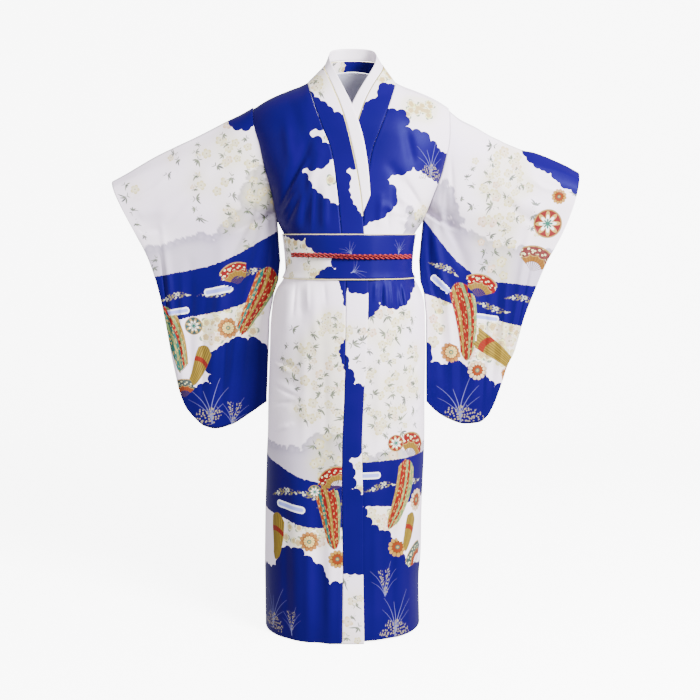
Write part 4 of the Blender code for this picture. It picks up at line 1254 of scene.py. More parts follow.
MOTIF_PARTS = {
    SPRIG: ("sprig", sprig_parts),
    BLOSSOM: ("blossom", blossom_parts),
    PEONY: ("peony", peony_parts),
    TUFT: ("grass tuft", tuft_parts),
    LACE: ("golden lace", lace_parts),
    FAN: ("folding fan", fan_parts),
    BALL: ("thread ball", ball_parts),
    MUM: ("chrysanthemum", mum_parts),
    RIBBONS: ("ribbon bundle", ribbon_parts),
    BAR: ("round bar", bar_parts),
}


def attribute(tree, name):
    """A number attribute of the mesh."""
    node = tree.nodes.new("ShaderNodeAttribute")
    node.attribute_name = name
    return Number(tree, node.outputs["Fac"])


def flat_place(tree, name):
    """The two coordinates of a UV map."""
    node = tree.nodes.new("ShaderNodeUVMap")
    node.uv_map = name
    parts = tree.nodes.new("ShaderNodeSeparateXYZ")
    tree.links.new(node.outputs[0], parts.inputs[0])
    return Number(tree, parts.outputs[0]), Number(tree, parts.outputs[1])


def noise(tree, vector, scale, detail=2.0):
    """Noise value at a vector."""
    node = tree.nodes.new("ShaderNodeTexNoise")
    node.inputs["Scale"].default_value = scale
    node.inputs["Detail"].default_value = detail
    tree.links.new(vector, node.inputs["Vector"])
    return Number(tree, node.outputs["Fac"])


def weave_parts(u, v):
    """Height of a fine satin weave: long floats across, broken in a staggered way."""
    warp = (u * 5200).sin()
    weft = (v * 5200 + (u * 1300).sin() * 2).sin()
    return (warp * 0.4 + weft * 0.6,)


WEAVE = group("satin weave", ["u", "v"], [("Height", "NodeSocketFloat")], weave_parts)
MASK_AND_COLOUR = [("Mask", "NodeSocketFloat"), ("Colour", "NodeSocketColor")]
MOTIF_GROUPS = {kind: group(name, ["x", "y", "tone"], MASK_AND_COLOUR, parts)
                for kind, (name, parts) in MOTIF_PARTS.items()}


def new_material(name, roughness, **sockets):
    """Principled material with constant values on the shader's own sockets."""
    material = bpy.data.materials.new(name)
    material.use_nodes = True
    tree = material.node_tree
    shader = tree.nodes["Principled BSDF"]
    shader.inputs["Roughness"].default_value = roughness
    for label, value in sockets.items():
        shader.inputs[label.replace("_", " ")].default_value = value
    return material, tree, shader


def add_weave(tree, shader, strength, crumple=0.0):
    """Bump from the satin weave and soft crumples."""
    u, v = flat_place(tree, "flat")
    height = Number(tree, use(WEAVE, u, v)[0])
    place = tree.nodes.new("ShaderNodeTexCoord")
    height = height * 0.06
    if crumple:
        height = height + noise(tree, place.outputs["Object"], 26.0, 3.0) * crumple
    bump = tree.nodes.new("ShaderNodeBump")
    bump.inputs["Strength"].default_value = strength
    bump.inputs["Distance"].default_value = 0.001
    tree.links.new(height.socket, bump.inputs["Height"])
    tree.links.new(bump.outputs[0], shader.inputs["Normal"])


def motif_layer(tree, layer, strengths, colour):
    """Colour with the motifs of one layer over it: strengths says how strongly each kind covers."""
    u, v = flat_place(tree, layer)
    kind = attribute(tree, layer + " kind")
    tone = attribute(tree, layer + " tone")
    for number, strength in strengths.items():
        mask, painted = use(MOTIF_GROUPS[number], u, v, tone)
        here = abs(kind - number).under(0.5, 0.01) * Number(tree, mask)
        colour = mix(here * strength, colour, painted)
    return colour


def printed_satin():
    """Satin with the whole print: white ground, mist (partly painted shade near the armpits), small
    flowers, blue clouds, gold and large motifs.
    """
    material, tree, shader = new_material(
        "printed satin", 0.40, Specular_IOR_Level=0.10, Specular_Tint=(0.25, 0.30, 1.0, 1))
    place = tree.nodes.new("ShaderNodeTexCoord")
    cloudy = noise(tree, place.outputs["Object"], 7.0)
    colour = mix(cloudy.over(0.5, 0.5), (0.90, 0.78, 0.95), (1.0, 0.90, 1.0), exact=True)
    colour = layered(
        # Lavender grey of the mist: printed mist, and near the armpits partly painted shade of the creases
        # there
        colour, (attribute(tree, "mist_and_shade").do("MULTIPLY", 1.0, soft=True), (0.24, 0.22, 0.44)),
        (attribute(tree, "haze") * 0.35, (0.86, 0.80, 0.50)))
    colour = motif_layer(tree, "small", {SPRIG: 0.95, BLOSSOM: 0.85, PEONY: 0.85}, colour)
    deep = mix(cloudy.over(0.5, 0.6), (0.005, 0.0, 0.072), (0.0075, 0.0, 0.098), exact=True)
    colour = mix(attribute(tree, "blue").over(0, 0.0006), colour, deep)
    colour = motif_layer(tree, "small", {TUFT: 0.9, LACE: 0.9}, colour)
    colour = motif_layer(tree, "large", {BAR: 1, RIBBONS: 1, MUM: 1, BALL: 1, FAN: 1}, colour)
    reverse = attribute(tree, "reverse")
    colour = layered(
        colour, (attribute(tree, "gold line").over(0.5, 0.2), (0.80, 0.76, 0.44)),
        # Painted shade: the rim walls at the cut edges are darkened by half, a thin shadow line along each
        # edge
        (reverse.over(0.02, 0.05) * 0.5, (0.04, 0.04, 0.10)),
        (reverse.over(0.93, 0.02), (0.70, 0.70, 0.74)))
    tree.links.new(colour, shader.inputs["Base Color"])
    add_weave(tree, shader, 0.35, 0.35)
    return material


PRINTED = printed_satin()
WHITE, white_tree, white_shader = new_material("white satin", 0.42, Base_Color=(0.96, 0.86, 0.97, 1))
add_weave(white_tree, white_shader, 0.35, 0.2)
GOLD = new_material("gold piping", 0.45, Base_Color=(0.72, 0.62, 0.30, 1), Sheen_Weight=0.2)[0]


def cord_with_painted_shade():
    """Red braided cord: slanting threads, with painted shade in the dark gaps between them."""
    material, tree, shader = new_material("red cord", 0.6, Specular_IOR_Level=0.2)
    place = tree.nodes.new("ShaderNodeTexCoord")
    parts = tree.nodes.new("ShaderNodeSeparateXYZ")
    tree.links.new(place.outputs["Object"], parts.inputs[0])
    x, z = Number(tree, parts.outputs[0]), Number(tree, parts.outputs[2])
    # Painted shade: slanting sine stripes darken the gaps between the braid's threads
    thread = (x * 523 + z * 1100).sin().over(-0.2, 0.9)
    colour = mix(thread, (0.022, 0.0, 0.003), (0.34, 0.022, 0.022), exact=True)
    tree.links.new(colour, shader.inputs["Base Color"])
    return material


RED = cord_with_painted_shade()

# --- Body panels --------------------------------------------------------------------------------------

over = front_panel(-1, 0.0)
under = front_panel(1, UNDER_HEM_RISE)
back = back_panel()


def panel_flat(grid, u):
    """Flat pattern of a body panel: u across, and height, above the armpit by length along the cloth."""
    up = lengths(grid, 0)
    v = ARMPIT_Z + up - up[LOWER_ROWS:LOWER_ROWS + 1]
    v = np.where(np.arange(len(grid))[:, None] < LOWER_ROWS, grid[:, :, 2], v)
    return np.stack([u, v], axis=2)


def front_flat(grid, side):
    """Flat pattern of a front, measured across from the neckband seam."""
    run = lengths(grid, 1)
    return panel_flat(grid, grid[:, -1:, 0] + side * (run[:, -1:] - run))


over_flat = front_flat(over, -1)
under_flat = front_flat(under, 1)

OVER_BLUE = [
    [0.6, (-2.9, -45.8), (-0.5, -45.8), (-0.5, -51.6), (-1.4, -50.8), (-2.0, -48.2)],
    [0.6, (-0.5, -60.2), (-2.0, -61.4), (-2.6, -63.0), (-1.8, -65.4), (-0.5, -67.4)],
    [1.15, (-36, 6), (0, 6), (0, -38), (-36, -38)],
    [0.3, (-30, -88.6), (-24, -89.6), (-18, -91.0), (-12.6, -93.2), (-7.1, -94.4), (2, -95.2), (2, -104.2),
     (-4.8, -105.2), (-9.1, -105.2), (-12.9, -104.6), (-17, -103.6), (-22, -102.8), (-30, -102.2)],
    [1.15, (-34, -117), (-20.5, -116.3), (-18.9, -112.4), (-16.2, -110.7), (-11.9, -110.7), (-9.8, -112.9),
     (-7.2, -114.6), (-5, -117.8), (2, -119.3), (2, -139), (-34, -139)],
]
OVER_WHITE = [
    [1.15, (-8.6, -11.8), (-6.9, -10.9), (-1.2, -10.5), (-1.2, -16.6), (-4.4, -15), (-6.5, -13.6)],
    [1.15, (-10.7, -21), (-7.9, -20.3), (-5.8, -19.6), (-4.9, -18), (0, -17.5), (0, -30.2), (-2.1, -29),
     (-4, -28.3), (-6.7, -26.7), (-9.1, -24.6)],
]
OVER_MIST = [[(-30, -85.6), (-12, -86), (-8, -82.6), (2, -82), (2, -99), (-30, -97)]]
UNDER_BLUE = [
    [1.15, (-4.7, -33.4), (6.9, -4.7), (9.5, -5.6), (12.5, -6), (13.9, -8.1), (13.7, -10.4), (15.5, -10.8),
     (18.5, -11.5), (21.5, -14.5), (26, -16.1), (24, -21.8), (19.5, -21.4), (17, -20.2), (14.4, -20),
     (12.4, -21.1), (9.3, -21.6), (8.6, -22.7), (10.7, -25.3), (11.2, -27.8), (9.4, -29.9), (7.3, -31.8),
     (4.5, -32.9), (-1.2, -35.7)],
    [1.15, (0, -43.4), (28, -42), (24, -45), (18.3, -48), (16, -50.3), (14, -52.2), (11.7, -52.9),
     (9.3, -52.4), (7, -52.2), (6.1, -53.4), (4.4, -55), (0, -56)],
    [0.3, (0, -89.4), (7.1, -89.2), (11.6, -88.9), (30, -88.2), (30, -99.4), (15.5, -99.8), (10, -100.3),
     (4.3, -99.8), (0, -100.3)],
    [1.15, (0, -99.7), (3.8, -100.4), (5, -103.8), (7.1, -106), (9.8, -107), (11, -109), (12.4, -110.9),
     (15.5, -115.4), (30, -117.8), (30, -139), (0, -139)],
]
# Mist of the under front: printed mist above the hem band, and a patch by the armpit that is partly painted
# shade
UNDER_MIST_AND_SHADE = [
    [(0, -88), (10, -87), (28, -86), (28, -94), (0, -94)],
    [(14, -29), (18, -31), (24, -31), (24, -36), (14, -36)],
]


# Mist, partly painted shade near the armpits: radius of its lobes, how soft its edge is, how far the dark
# rim reaches, strength of rim and rest
MIST_LOBES, MIST_EDGE, MIST_REACH, MIST_RIM, MIST_REST = 0.011, 0.0016, 0.009, 0.26, 0.46
HAZE_REACH = 0.024


def mist_and_shade_of(u, v, shapes, seed):
    """Mist, partly painted shade near the armpits: darkest along the scalloped edge of each shape and
    fading inwards from it, 0 outside.
    """
    total = np.zeros(u.shape)
    for i, shape in enumerate(shapes):
        shape = np.array(shape) / 100
        value = scallops(inside_of(shape, u, v), shape, u, v, MIST_LOBES, seed + i)
        strength = MIST_RIM * np.exp(-np.maximum(value, 0) / MIST_REACH) + MIST_REST
        total = np.maximum(total, ease(value / MIST_EDGE) * strength)
    return total


def haze_of(u, v, small):
    """Soft pale gold round the blossoms."""
    total = np.zeros(u.shape)
    for mu, mv, *_rest, kind, _tone in small:
        if kind in (BLOSSOM, PEONY):
            total += 0.5 * np.exp(-(((u - mu) ** 2 + (v - mv) ** 2) / HAZE_REACH ** 2))
    return np.clip(total, 0, 1)


def print_marks(flat, shapes, holes, mists_and_shade, small, seed):
    """Attributes of the print on one sheet; its mist is partly painted shade near the armpits."""
    u, v = flat[:, :, 0], flat[:, :, 1]
    return {
        "blue": clouds(u, v, shapes, holes, seed=seed),
        "mist_and_shade": mist_and_shade_of(u, v, mists_and_shade, seed + 20),
        "haze": haze_of(u, v, small),
    }


def printed_sheet(name, node, grid, flat, blue, white, mists_and_shade, small, large, seed, thick=CLOTH,
                  marks=None, **how):
    """Sheet of printed satin with its blue and white shapes, mists (partly painted shade near the armpits)
    and motifs.
    """
    marks = {**print_marks(flat, blue, white, mists_and_shade, small, seed), **(marks or {})}
    return cloth(name, node, grid, thick, PRINTED, "printed_satin", flat, marks=marks, small=small,
                 large=large, **how)


rng = np.random.default_rng(7)
over_small = small_motifs(
    sprays=[(-0.035, -0.55, -0.9, 0.02, 0.85), (-0.08, -0.56, -0.86, -0.02, 0.85),
            (-0.125, -0.58, -0.8, 0.05, 0.55), (-0.16, -0.62, -0.72, 0.0, 0.3)],
    strewn=[((-0.2, -1.09), (-0.02, -1.045), 16, (PEONY, BLOSSOM), (0.012, 0.019)),
            ((-0.09, -0.93), (-0.02, -0.86), 10, (BLOSSOM, SPRIG), (0.012, 0.018))],
    placed=[[-0.165, -0.975, 0.045, 0.02, 0.15, LACE, 0.3], [-0.09, -0.975, 0.045, 0.018, -0.1, LACE, 0.7],
            [-0.04, -0.995, 0.04, 0.018, 0.1, LACE, 0.1], [-0.205, -1.255, 0.04, 0.06, -0.1, TUFT, 0.4],
            [-0.15, -1.28, 0.03, 0.04, 0.1, TUFT, 0.8], [-0.075, -0.285, 0.012, 0.012, 0.0, PEONY, 0.9],
            [-0.045, -0.23, 0.015, 0.015, 0.0, PEONY, 0.1], [-0.05, -0.13, 0.012, 0.012, 0.0, PEONY, 0.4]])
over_large = [
    [-0.052, -1.02, 0.05, 0.085, 0.35, RIBBONS, 0.15], [-0.1, -1.085, 0.026, 0.026, 0.2, MUM, 0.2],
    [-0.04, -0.93, 0.034, 0.034, 0.5, FAN, 0.0], [-0.085, -0.965, 0.018, 0.018, 0.0, BALL, 0.9],
    [-0.195, -1.085, 0.036, 0.06, -0.3, RIBBONS, 0.97], [-0.03, -1.125, 0.024, 0.024, 0.3, MUM, 0.6],
    [-0.15, -1.006, 0.042, 0.009, -0.12, BAR, 0.0],
]
over_skin = over + normals(over, False) * CLOTH
front_right = printed_sheet("right_front", "front_right", over_skin, over_flat, OVER_BLUE, OVER_WHITE,
                            OVER_MIST, over_small, over_large, 11)

under_small = small_motifs(
    sprays=[(0.05, -0.55, -0.9, 0.01, 0.55), (0.09, -0.55, -0.88, 0.02, 0.75),
            (0.13, -0.54, -0.86, 0.03, 0.75), (0.165, -0.56, -0.82, 0.02, 0.45)],
    strewn=[((0.12, -0.07), (0.2, -0.02), 16, (PEONY,), (0.012, 0.017)),
            ((0.15, -0.34), (0.23, -0.29), 10, (SPRIG, BLOSSOM), (0.012, 0.017)),
            ((0.045, -1.06), (0.11, -1.0), 12, (PEONY, BLOSSOM), (0.012, 0.016))],
    placed=[[0.195, -0.165, 0.035, 0.05, 0.1, TUFT, 0.3], [0.085, -1.18, 0.036, 0.052, 0.1, TUFT, 0.6],
            [0.12, -1.26, 0.042, 0.062, -0.1, TUFT, 0.2], [0.075, -0.955, 0.04, 0.018, 0.1, LACE, 0.2],
            [0.16, -0.95, 0.04, 0.018, 0.1, LACE, 0.6]])
under_large = [
    [0.12, -0.975, 0.045, 0.09, -0.25, RIBBONS, 0.45], [0.165, -0.86, 0.04, 0.04, -0.4, FAN, 0.05],
    [0.112, -0.85, 0.022, 0.022, 0.0, BALL, 0.1], [0.15, -1.075, 0.03, 0.052, -0.5, RIBBONS, 0.93],
    [0.185, -1.0, 0.03, 0.03, 0.9, MUM, 0.8], [0.12, -1.105, 0.026, 0.026, 0.1, MUM, 0.5],
    [0.18, -1.135, 0.034, 0.034, 0.6, FAN, 0.8], [0.04, -0.925, 0.034, 0.0085, 0.0, BAR, 0.0],
]
under_skin = under - normals(under, False) * CLOTH
front_left = printed_sheet("left_front", "front_left", under_skin, under_flat, UNDER_BLUE, [],
                           UNDER_MIST_AND_SHADE, under_small, under_large, 23, flip=True)

# Back, its flat pattern measured from the middle column
run = lengths(back, 1)
middle = back.shape[1] // 2
back_flat = panel_flat(back, run - run[:, middle:middle + 1])
BACK_BLUE = [
    [1.15, (6, 1), (10, -1), (15, -5), (20, -8), (26, -9), (40, -9), (40, -22), (30, -24), (22, -19),
     (12, -21), (6, -15), (-1, -17), (-4, -9), (0, -3)],
    [1.15, (-40, 20), (-5, 20), (-6, 2), (-9, -1), (-12, 0), (-16, -5), (-20, -7), (-26, -8), (-40, -10)],
    [1.15, (-40, -24), (-30, -22), (-20, -26), (-10, -24), (-4, -30), (-10, -36), (-6, -42), (-14, -48),
     (-24, -50), (-40, -48)],
    [0.3, (-40, -88), (-20, -91), (0, -89), (20, -92), (40, -90), (40, -102), (20, -104), (6, -101),
     (-8, -104), (-24, -101), (-40, -103)],
    [1.15, (-40, -114), (-26, -112), (-16, -116), (-8, -121), (2, -118), (10, -113), (22, -112), (30, -117),
     (40, -119), (40, -139), (-40, -139)],
]
BACK_MIST = [[(-40, -82), (-20, -84), (0, -81), (20, -84), (40, -82), (40, -94), (-40, -94)]]
back_small = small_motifs(
    sprays=[(-0.15, -0.52, -0.86, 0.0, 0.5), (-0.095, -0.5, -0.82, 0.03, 0.7),
            (-0.04, -0.42, -0.8, -0.02, 0.6), (0.02, -0.38, -0.84, 0.02, 0.75),
            (0.08, -0.36, -0.8, 0.03, 0.6), (0.14, -0.34, -0.86, 0.01, 0.7), (0.19, -0.44, -0.8, 0.0, 0.4),
            (-0.13, -0.02, -0.26, 0.0, 0.7), (-0.18, -0.06, -0.24, 0.0, 0.4), (0.06, -0.2, -0.3, 0.0, 0.6)],
    strewn=[((-0.22, -1.1), (0.22, -1.04), 36, (PEONY, BLOSSOM), (0.013, 0.02))],
    placed=[[-0.15, -0.955, 0.05, 0.02, 0.1, LACE, 0.3], [0.06, -0.965, 0.05, 0.02, -0.1, LACE, 0.8],
            [0.16, -1.25, 0.045, 0.065, 0.1, TUFT, 0.3], [-0.18, -1.24, 0.04, 0.06, 0.0, TUFT, 0.7],
            [-0.02, -1.27, 0.045, 0.06, -0.1, TUFT, 0.5], [0.14, -0.13, 0.04, 0.055, 0.0, TUFT, 0.2]])
back_large = [
    [-0.09, -1.02, 0.05, 0.09, 0.3, RIBBONS, 0.25], [0.11, -1.03, 0.055, 0.085, -0.4, RIBBONS, 0.65],
    [-0.02, -1.08, 0.032, 0.032, 0.2, MUM, 0.1], [0.02, -0.985, 0.045, 0.045, 0.4, FAN, 0.0],
    [-0.15, -1.08, 0.028, 0.028, 0.2, BALL, 0.2], [0.18, -1.1, 0.03, 0.03, 0.7, MUM, 0.85],
    [-0.2, -0.98, 0.03, 0.03, 0.3, MUM, 0.5], [-0.13, -0.9, 0.045, 0.009, 0.1, BAR, 0.0],
    [0.2, -0.96, 0.045, 0.009, 0.05, BAR, 0.0],
]
back_piece = printed_sheet("back", "back", back, back_flat, BACK_BLUE, [], BACK_MIST, back_small,
                           back_large, 31, flip=True)

# --- Neckband and its white edging strip --------------------------------------------------------------

seam, edge, strip, over_rows = collar_lines(over, under, back)
band = ribbon(seam, edge, BAND_SEAM_GAP, BAND_EDGE_GAP, BAND_COLUMNS)
lift = np.zeros(len(seam))
lift[:over_rows] = LAYER_RISE * ease((0.0 - seam[:over_rows, 2]) / 0.06)
band = settle_on_front(band, lift[:, None, None])
around = lengths(seam[:, None], 0)[:, 0]
over_end = around[over_rows]
under_start = around[len(seam) - len(under)]

# The band's three stretches lie beside each other in its flat pattern: over, under and round the neck
UNDER_PLACE = 1.0
NECK_PLACE = 2.0
NECK_START = 0.20
place = np.arange(len(seam))[:, None]
on_over = place < over_rows
on_under = place >= len(seam) - len(under)
band_u = np.where(on_under, band[:, :, 0] + UNDER_PLACE, NECK_PLACE + lengths(band, 1))
band_u = np.where(on_over, band[:, :, 0], band_u)
band_v = np.where(on_over | on_under, band[:, :, 2], NECK_START + around[:, None] - over_end)
band_flat = np.stack([band_u, band_v], axis=2)
NAPE = 20 + 50 * (under_start - over_end)
BAND_BLUE = [
    [1.15, (-6, -43), (9, -43), (9, -48.5), (3.7, -49.2), (1.4, -49.4), (-0.7, -48.7), (-6, -50.1)],
    [1.15, (-6, -61.3), (-1.6, -62.5), (0, -67.2), (1.9, -70.5), (9, -72.2), (9, -116), (-6, -116)],
    [1.15, (-15, 2), (-9.3, -2.7), (-7.9, -3.9), (-5.8, -5.5), (-3.7, -7.5), (0, -8.4), (8.2, -33.4),
     (8.3, -44), (-7.1, -44), (-14, -16)],
    [1.15, (98.8, -11.2), (101.9, -8.4), (103.5, -5.5), (105.9, -4.5), (106.8, -2.2), (107.9, -0.6),
     (114, -0.6), (112, -60), (90, -60)],
    [0.8, (196, NAPE - 1.8), (212, NAPE - 1.8), (212, NAPE + 9), (196, NAPE + 9)],
]
BAND_WHITE = [
    [1.15, (0.5, -89.2), (1.9, -87), (8, -86.8), (8, -98.4), (2.9, -96.9), (1.2, -95.5)],
    [1.15, (0, -21.2), (1.9, -20), (9, -19.6), (9, -33.2), (2.8, -31.6), (0.9, -28.8), (-0.2, -25.3)],
]
band_small = small_motifs(
    sprays=[(-0.08, 0.04, -0.04, 0.0, 0.8), (0.008, -0.58, -0.63, 0.0, 0.5), (0.03, -0.6, -0.68, 0.0, 0.3),
            (0.012, -1.18, -1.32, 0.0, 0.7)],
    strewn=[((1.06, -0.06), (1.1, 0.04), 12, (PEONY,), (0.01, 0.015)),
            ((2.0, 0.2), (2.06, 0.5), 30, (BLOSSOM, SPRIG, PEONY), (0.01, 0.016))],
    placed=[[0.024, -0.318, 0.013, 0.013, 0.0, PEONY, 0.05], [0.022, -0.9, 0.012, 0.012, 0.0, BLOSSOM, 0.9],
            [0.024, -0.955, 0.013, 0.013, 0.5, PEONY, 0.1]])
share = np.linspace(0, 1, BAND_COLUMNS)[None] + np.zeros((len(seam), 1))
gold_line = np.where((share > 0.97) & (band[:, :, 2] > EDGING_END_Z - 0.002), 1.0, 0.0)
band_skin = band + normals(band, False) * BAND
neckband = printed_sheet("neckband", "neckband", band_skin, band_flat, BAND_BLUE, BAND_WHITE, [],
                         band_small, [], 43, thick=BAND, marks={"gold line": gold_line}, both_sides=True)

# The edging starts in a point: its outer line is taken further along the band there, by a length ahead
tip = int(np.searchsorted(seam[:over_rows, 2], EDGING_END_Z))
tail = len(seam) - int(np.searchsorted(seam[::-1, 2][:over_rows], EDGING_TAIL_Z)) - 1
spacing = (around[tip + 40] - around[tip]) / 40
from_tip = around[tip:tail] - around[tip]
ahead = [0.0324, 0.0234, 0.0126, 0.0036, 0.0]
slant = np.interp(from_tip, [0, 0.018, 0.036, 0.054, 0.072], ahead) / spacing
skew = np.arange(tip, tail) + slant
outer_line = np.stack([np.interp(skew, np.arange(len(strip)), strip[:, i]) for i in range(3)], axis=1)
edging_grid = ribbon(edge[tip:tail], outer_line, EDGING_GAP, 0.0, EDGING_COLUMNS)
edging_grid = settle_on_front(edging_grid, lift[tip:tail, None, None] - EDGING_INSET)
edging_run = np.repeat(from_tip[:, None], EDGING_COLUMNS, axis=1)
edging_flat = np.stack([lengths(edging_grid, 1), edging_run], axis=2)
edging_skin = edging_grid + normals(edging_grid, False) * STRIP
edging = cloth("edging_strip", "edging", edging_skin, STRIP, WHITE, "white_satin", edging_flat)

# --- Sleeves ------------------------------------------------------------------------------------------

RIGHT_SLEEVE_BLUE = [
    [1.15, (-30.7, -6.4), (-29.3, -8.5), (-27.4, -10.4), (-24.8, -10.6), (-23.6, -9.7), (-20.2, -8.3),
     (-18, 0), (-30, 0)],
    [0.3, (-52, -46.8), (-46.6, -45.7), (-34.8, -43.5), (-30.3, -41.8), (-24.9, -39.1), (-14.1, -32.8),
     (-14.2, -47), (-21.6, -50.4), (-27.8, -53.1), (-31, -54.1), (-36.7, -55.3), (-45.3, -57), (-52, -58)],
    [1.15, (-50, -74), (-39.7, -73.7), (-34.9, -71.7), (-35.4, -67), (-34.1, -64.5), (-31.3, -62.7),
     (-28.1, -60.8), (-23.2, -61.2), (-20.2, -63.2), (-14.3, -64), (-14.5, -88), (-50, -88)],
]
LEFT_SLEEVE_BLUE = [
    [1.15, (40.9, -13), (42.7, -17), (44.9, -19.2), (47.1, -20.6), (49.1, -21.8), (51.3, -24),
     (53.7, -25.2), (60, -26.6), (60, -10)],
    [0.3, (13.4, -28.5), (17.8, -31.9), (22, -37.4), (25.7, -41.8), (30.6, -45.7), (35.8, -47.2),
     (50, -48.7), (50, -59.5), (41.9, -58), (35.7, -56.5), (29.5, -55.1), (25.1, -52.6), (21.1, -50.9),
     (13.5, -48.4)],
    [1.15, (13.6, -59), (19.3, -62.7), (20.8, -66.7), (22.3, -68), (26, -66.7), (29.7, -68.2),
     (32.7, -69.7), (36.4, -72.7), (45, -73.7), (45, -88), (13.7, -88)],
]
right_small = small_motifs(
    sprays=[(-0.245, -0.13, -0.4, 0.02, 0.75), (-0.3, -0.12, -0.36, 0.02, 0.8),
            (-0.365, -0.14, -0.32, -0.04, 0.3), (-0.42, -0.16, -0.22, -0.05, 0.2),
            (-0.56, -0.24, -0.45, 0.42, 0.1), (-0.215, -0.2, -0.32, 0.0, 0.4)],
    strewn=[((-0.36, -0.62), (-0.21, -0.52), 30, (PEONY, BLOSSOM), (0.014, 0.02))],
    placed=[[-0.43, -0.51, 0.04, 0.018, 0.15, LACE, 0.2], [-0.33, -0.5, 0.045, 0.018, 0.25, LACE, 0.7],
            [-0.24, -0.45, 0.04, 0.018, 0.3, LACE, 0.4], [-0.35, -0.76, 0.055, 0.062, 0.1, TUFT, 0.25],
            [-0.29, -0.79, 0.04, 0.045, -0.1, TUFT, 0.65]])
right_large = [
    [-0.235, -0.52, 0.048, 0.095, -0.3, RIBBONS, 0.15], [-0.28, -0.45, 0.034, 0.034, 0.3, FAN, 0.05],
    [-0.3, -0.585, 0.028, 0.028, 0.2, MUM, 0.15], [-0.44, -0.62, 0.045, 0.095, 0.35, RIBBONS, 0.44],
    [-0.375, -0.68, 0.034, 0.056, -0.6, RIBBONS, 0.95], [-0.385, -0.58, 0.024, 0.024, 0.0, BALL, 0.85],
    [-0.415, -0.735, 0.03, 0.03, 0.2, FAN, 0.75], [-0.322, -0.492, 0.036, 0.0095, 0.2, BAR, 0.0],
    [-0.425, -0.545, 0.03, 0.0085, 0.15, BAR, 0.0],
]
left_small = small_motifs(
    sprays=[(0.335, -0.14, -0.44, -0.02, 0.8), (0.395, -0.17, -0.42, -0.03, 0.8),
            (0.44, -0.24, -0.38, -0.04, 0.4), (0.29, -0.2, -0.3, -0.05, 0.2), (0.33, -0.4, -0.52, 0.0, 0.3),
            (0.555, -0.26, -0.3, -0.4, 0.1)],
    strewn=[((0.28, -0.68), (0.43, -0.58), 34, (PEONY, BLOSSOM), (0.014, 0.021)),
            ((0.2, -0.62), (0.26, -0.5), 8, (PEONY, BLOSSOM), (0.012, 0.018))],
    placed=[[0.23, -0.44, 0.04, 0.018, -0.5, LACE, 0.2], [0.35, -0.535, 0.045, 0.018, -0.2, LACE, 0.7],
            [0.42, -0.515, 0.04, 0.018, -0.1, LACE, 0.4], [0.27, -0.755, 0.055, 0.062, 0.1, TUFT, 0.45]])
left_large = [
    [0.275, -0.57, 0.05, 0.1, 0.2, RIBBONS, 0.35], [0.32, -0.48, 0.036, 0.036, -0.3, FAN, 0.0],
    [0.25, -0.645, 0.028, 0.028, 0.1, MUM, 0.3], [0.35, -0.64, 0.04, 0.085, 0.75, RIBBONS, 0.95],
    [0.48, -0.33, 0.038, 0.038, -0.2, BALL, 0.15], [0.455, -0.415, 0.04, 0.04, -0.35, FAN, 0.3],
    [0.505, -0.265, 0.02, 0.02, -0.2, MUM, 0.4], [0.315, -0.69, 0.026, 0.026, 0.2, MUM, 0.9],
    [0.4, -0.7, 0.03, 0.03, 0.5, MUM, 0.1], [0.225, -0.48, 0.034, 0.0085, -0.75, BAR, 0.0],
    [0.335, -0.56, 0.032, 0.0085, -0.15, BAR, 0.0],
]
# Mist of the sleeves: printed mist with scalloped tops, and near the armpit partly painted shade of the
# creases
RIGHT_MIST_AND_SHADE = [
    [(-54, -38.8), (-46, -38.4), (-41, -36.4), (-36, -35.4), (-33.5, -36.2), (-29.5, -32.2), (-24, -27.4),
     (-20, -26), (-14, -25), (-14, -50), (-54, -54)],
    [(-27, -29), (-25.6, -24), (-23.4, -20.4), (-21.4, -19.6), (-20, -23), (-18, -27), (-18, -31)],
]
# Near the armpit this mist is also partly painted shade, as on the other sleeve
LEFT_MIST_AND_SHADE = [
    [(14, -24), (19, -26.5), (23, -31), (27, -34), (31, -35.4), (34, -37.6), (40, -38.4), (52, -39.4),
     (52, -56), (14, -46)],
    [(19, -29), (20, -25), (22.4, -22.6), (24.6, -25), (26, -29), (27, -33)],
]
for name, node, side, table, blue, mists_and_shade, small, large, seed in (
        ("right_sleeve", "sleeve_right", -1, SLEEVE_LEFT, RIGHT_SLEEVE_BLUE, RIGHT_MIST_AND_SHADE, right_small,
         right_large, 61),
        ("left_sleeve", "sleeve_left", 1, SLEEVE_RIGHT, LEFT_SLEEVE_BLUE, LEFT_MIST_AND_SHADE, left_small,
         left_large, 71)):
    rings = sleeve(side, table)
    if side < 0:
        rings = rings - normals(rings, True) * CLOTH
    sleeve_flat = rings[:, :, [0, 2]]
    printed_sheet(name, node, rings, sleeve_flat, blue, [], mists_and_shade, small, large, seed,
                                  closed=True, flip=side < 0)

# --- Belt, its piping and the sewn-on cord ------------------------------------------------------------

# The ring is cut open by a hair behind
turn = np.linspace(-np.pi, np.pi, BELT_COLUMNS)
turn[0] += 0.0006
turn[-1] -= 0.0006
levels = np.linspace(BELT_BOTTOM, BELT_TOP, BELT_ROWS)
obi_grid = np.stack([belt_ring(z, BELT, turn) for z in levels])
obi_run = lengths(obi_grid, 1)
front = slice(BELT_COLUMNS // 2, BELT_COLUMNS // 2 + 1)
obi_u = obi_run - obi_run[:, front] + obi_grid[:, front, 0]
obi_flat = np.stack([obi_u, obi_grid[:, :, 2]], axis=2)
OBI_BLUE = [
    [1.15, (-80, -30), (80, -30), (80, -50), (-80, -50)],
]
OBI_WHITE = [
    [1.15, (-24, -35), (-15.7, -36.3), (-11.2, -37.2), (-9, -39), (-6.7, -39.8), (-4, -40.7), (-4, -43.1),
     (-6.7, -44), (-8.6, -46.4), (-10, -48), (-24, -48)],
    [1.15, (30, -35), (38, -35), (41, -39), (36, -42), (33, -47), (28, -47), (26, -40)],
]
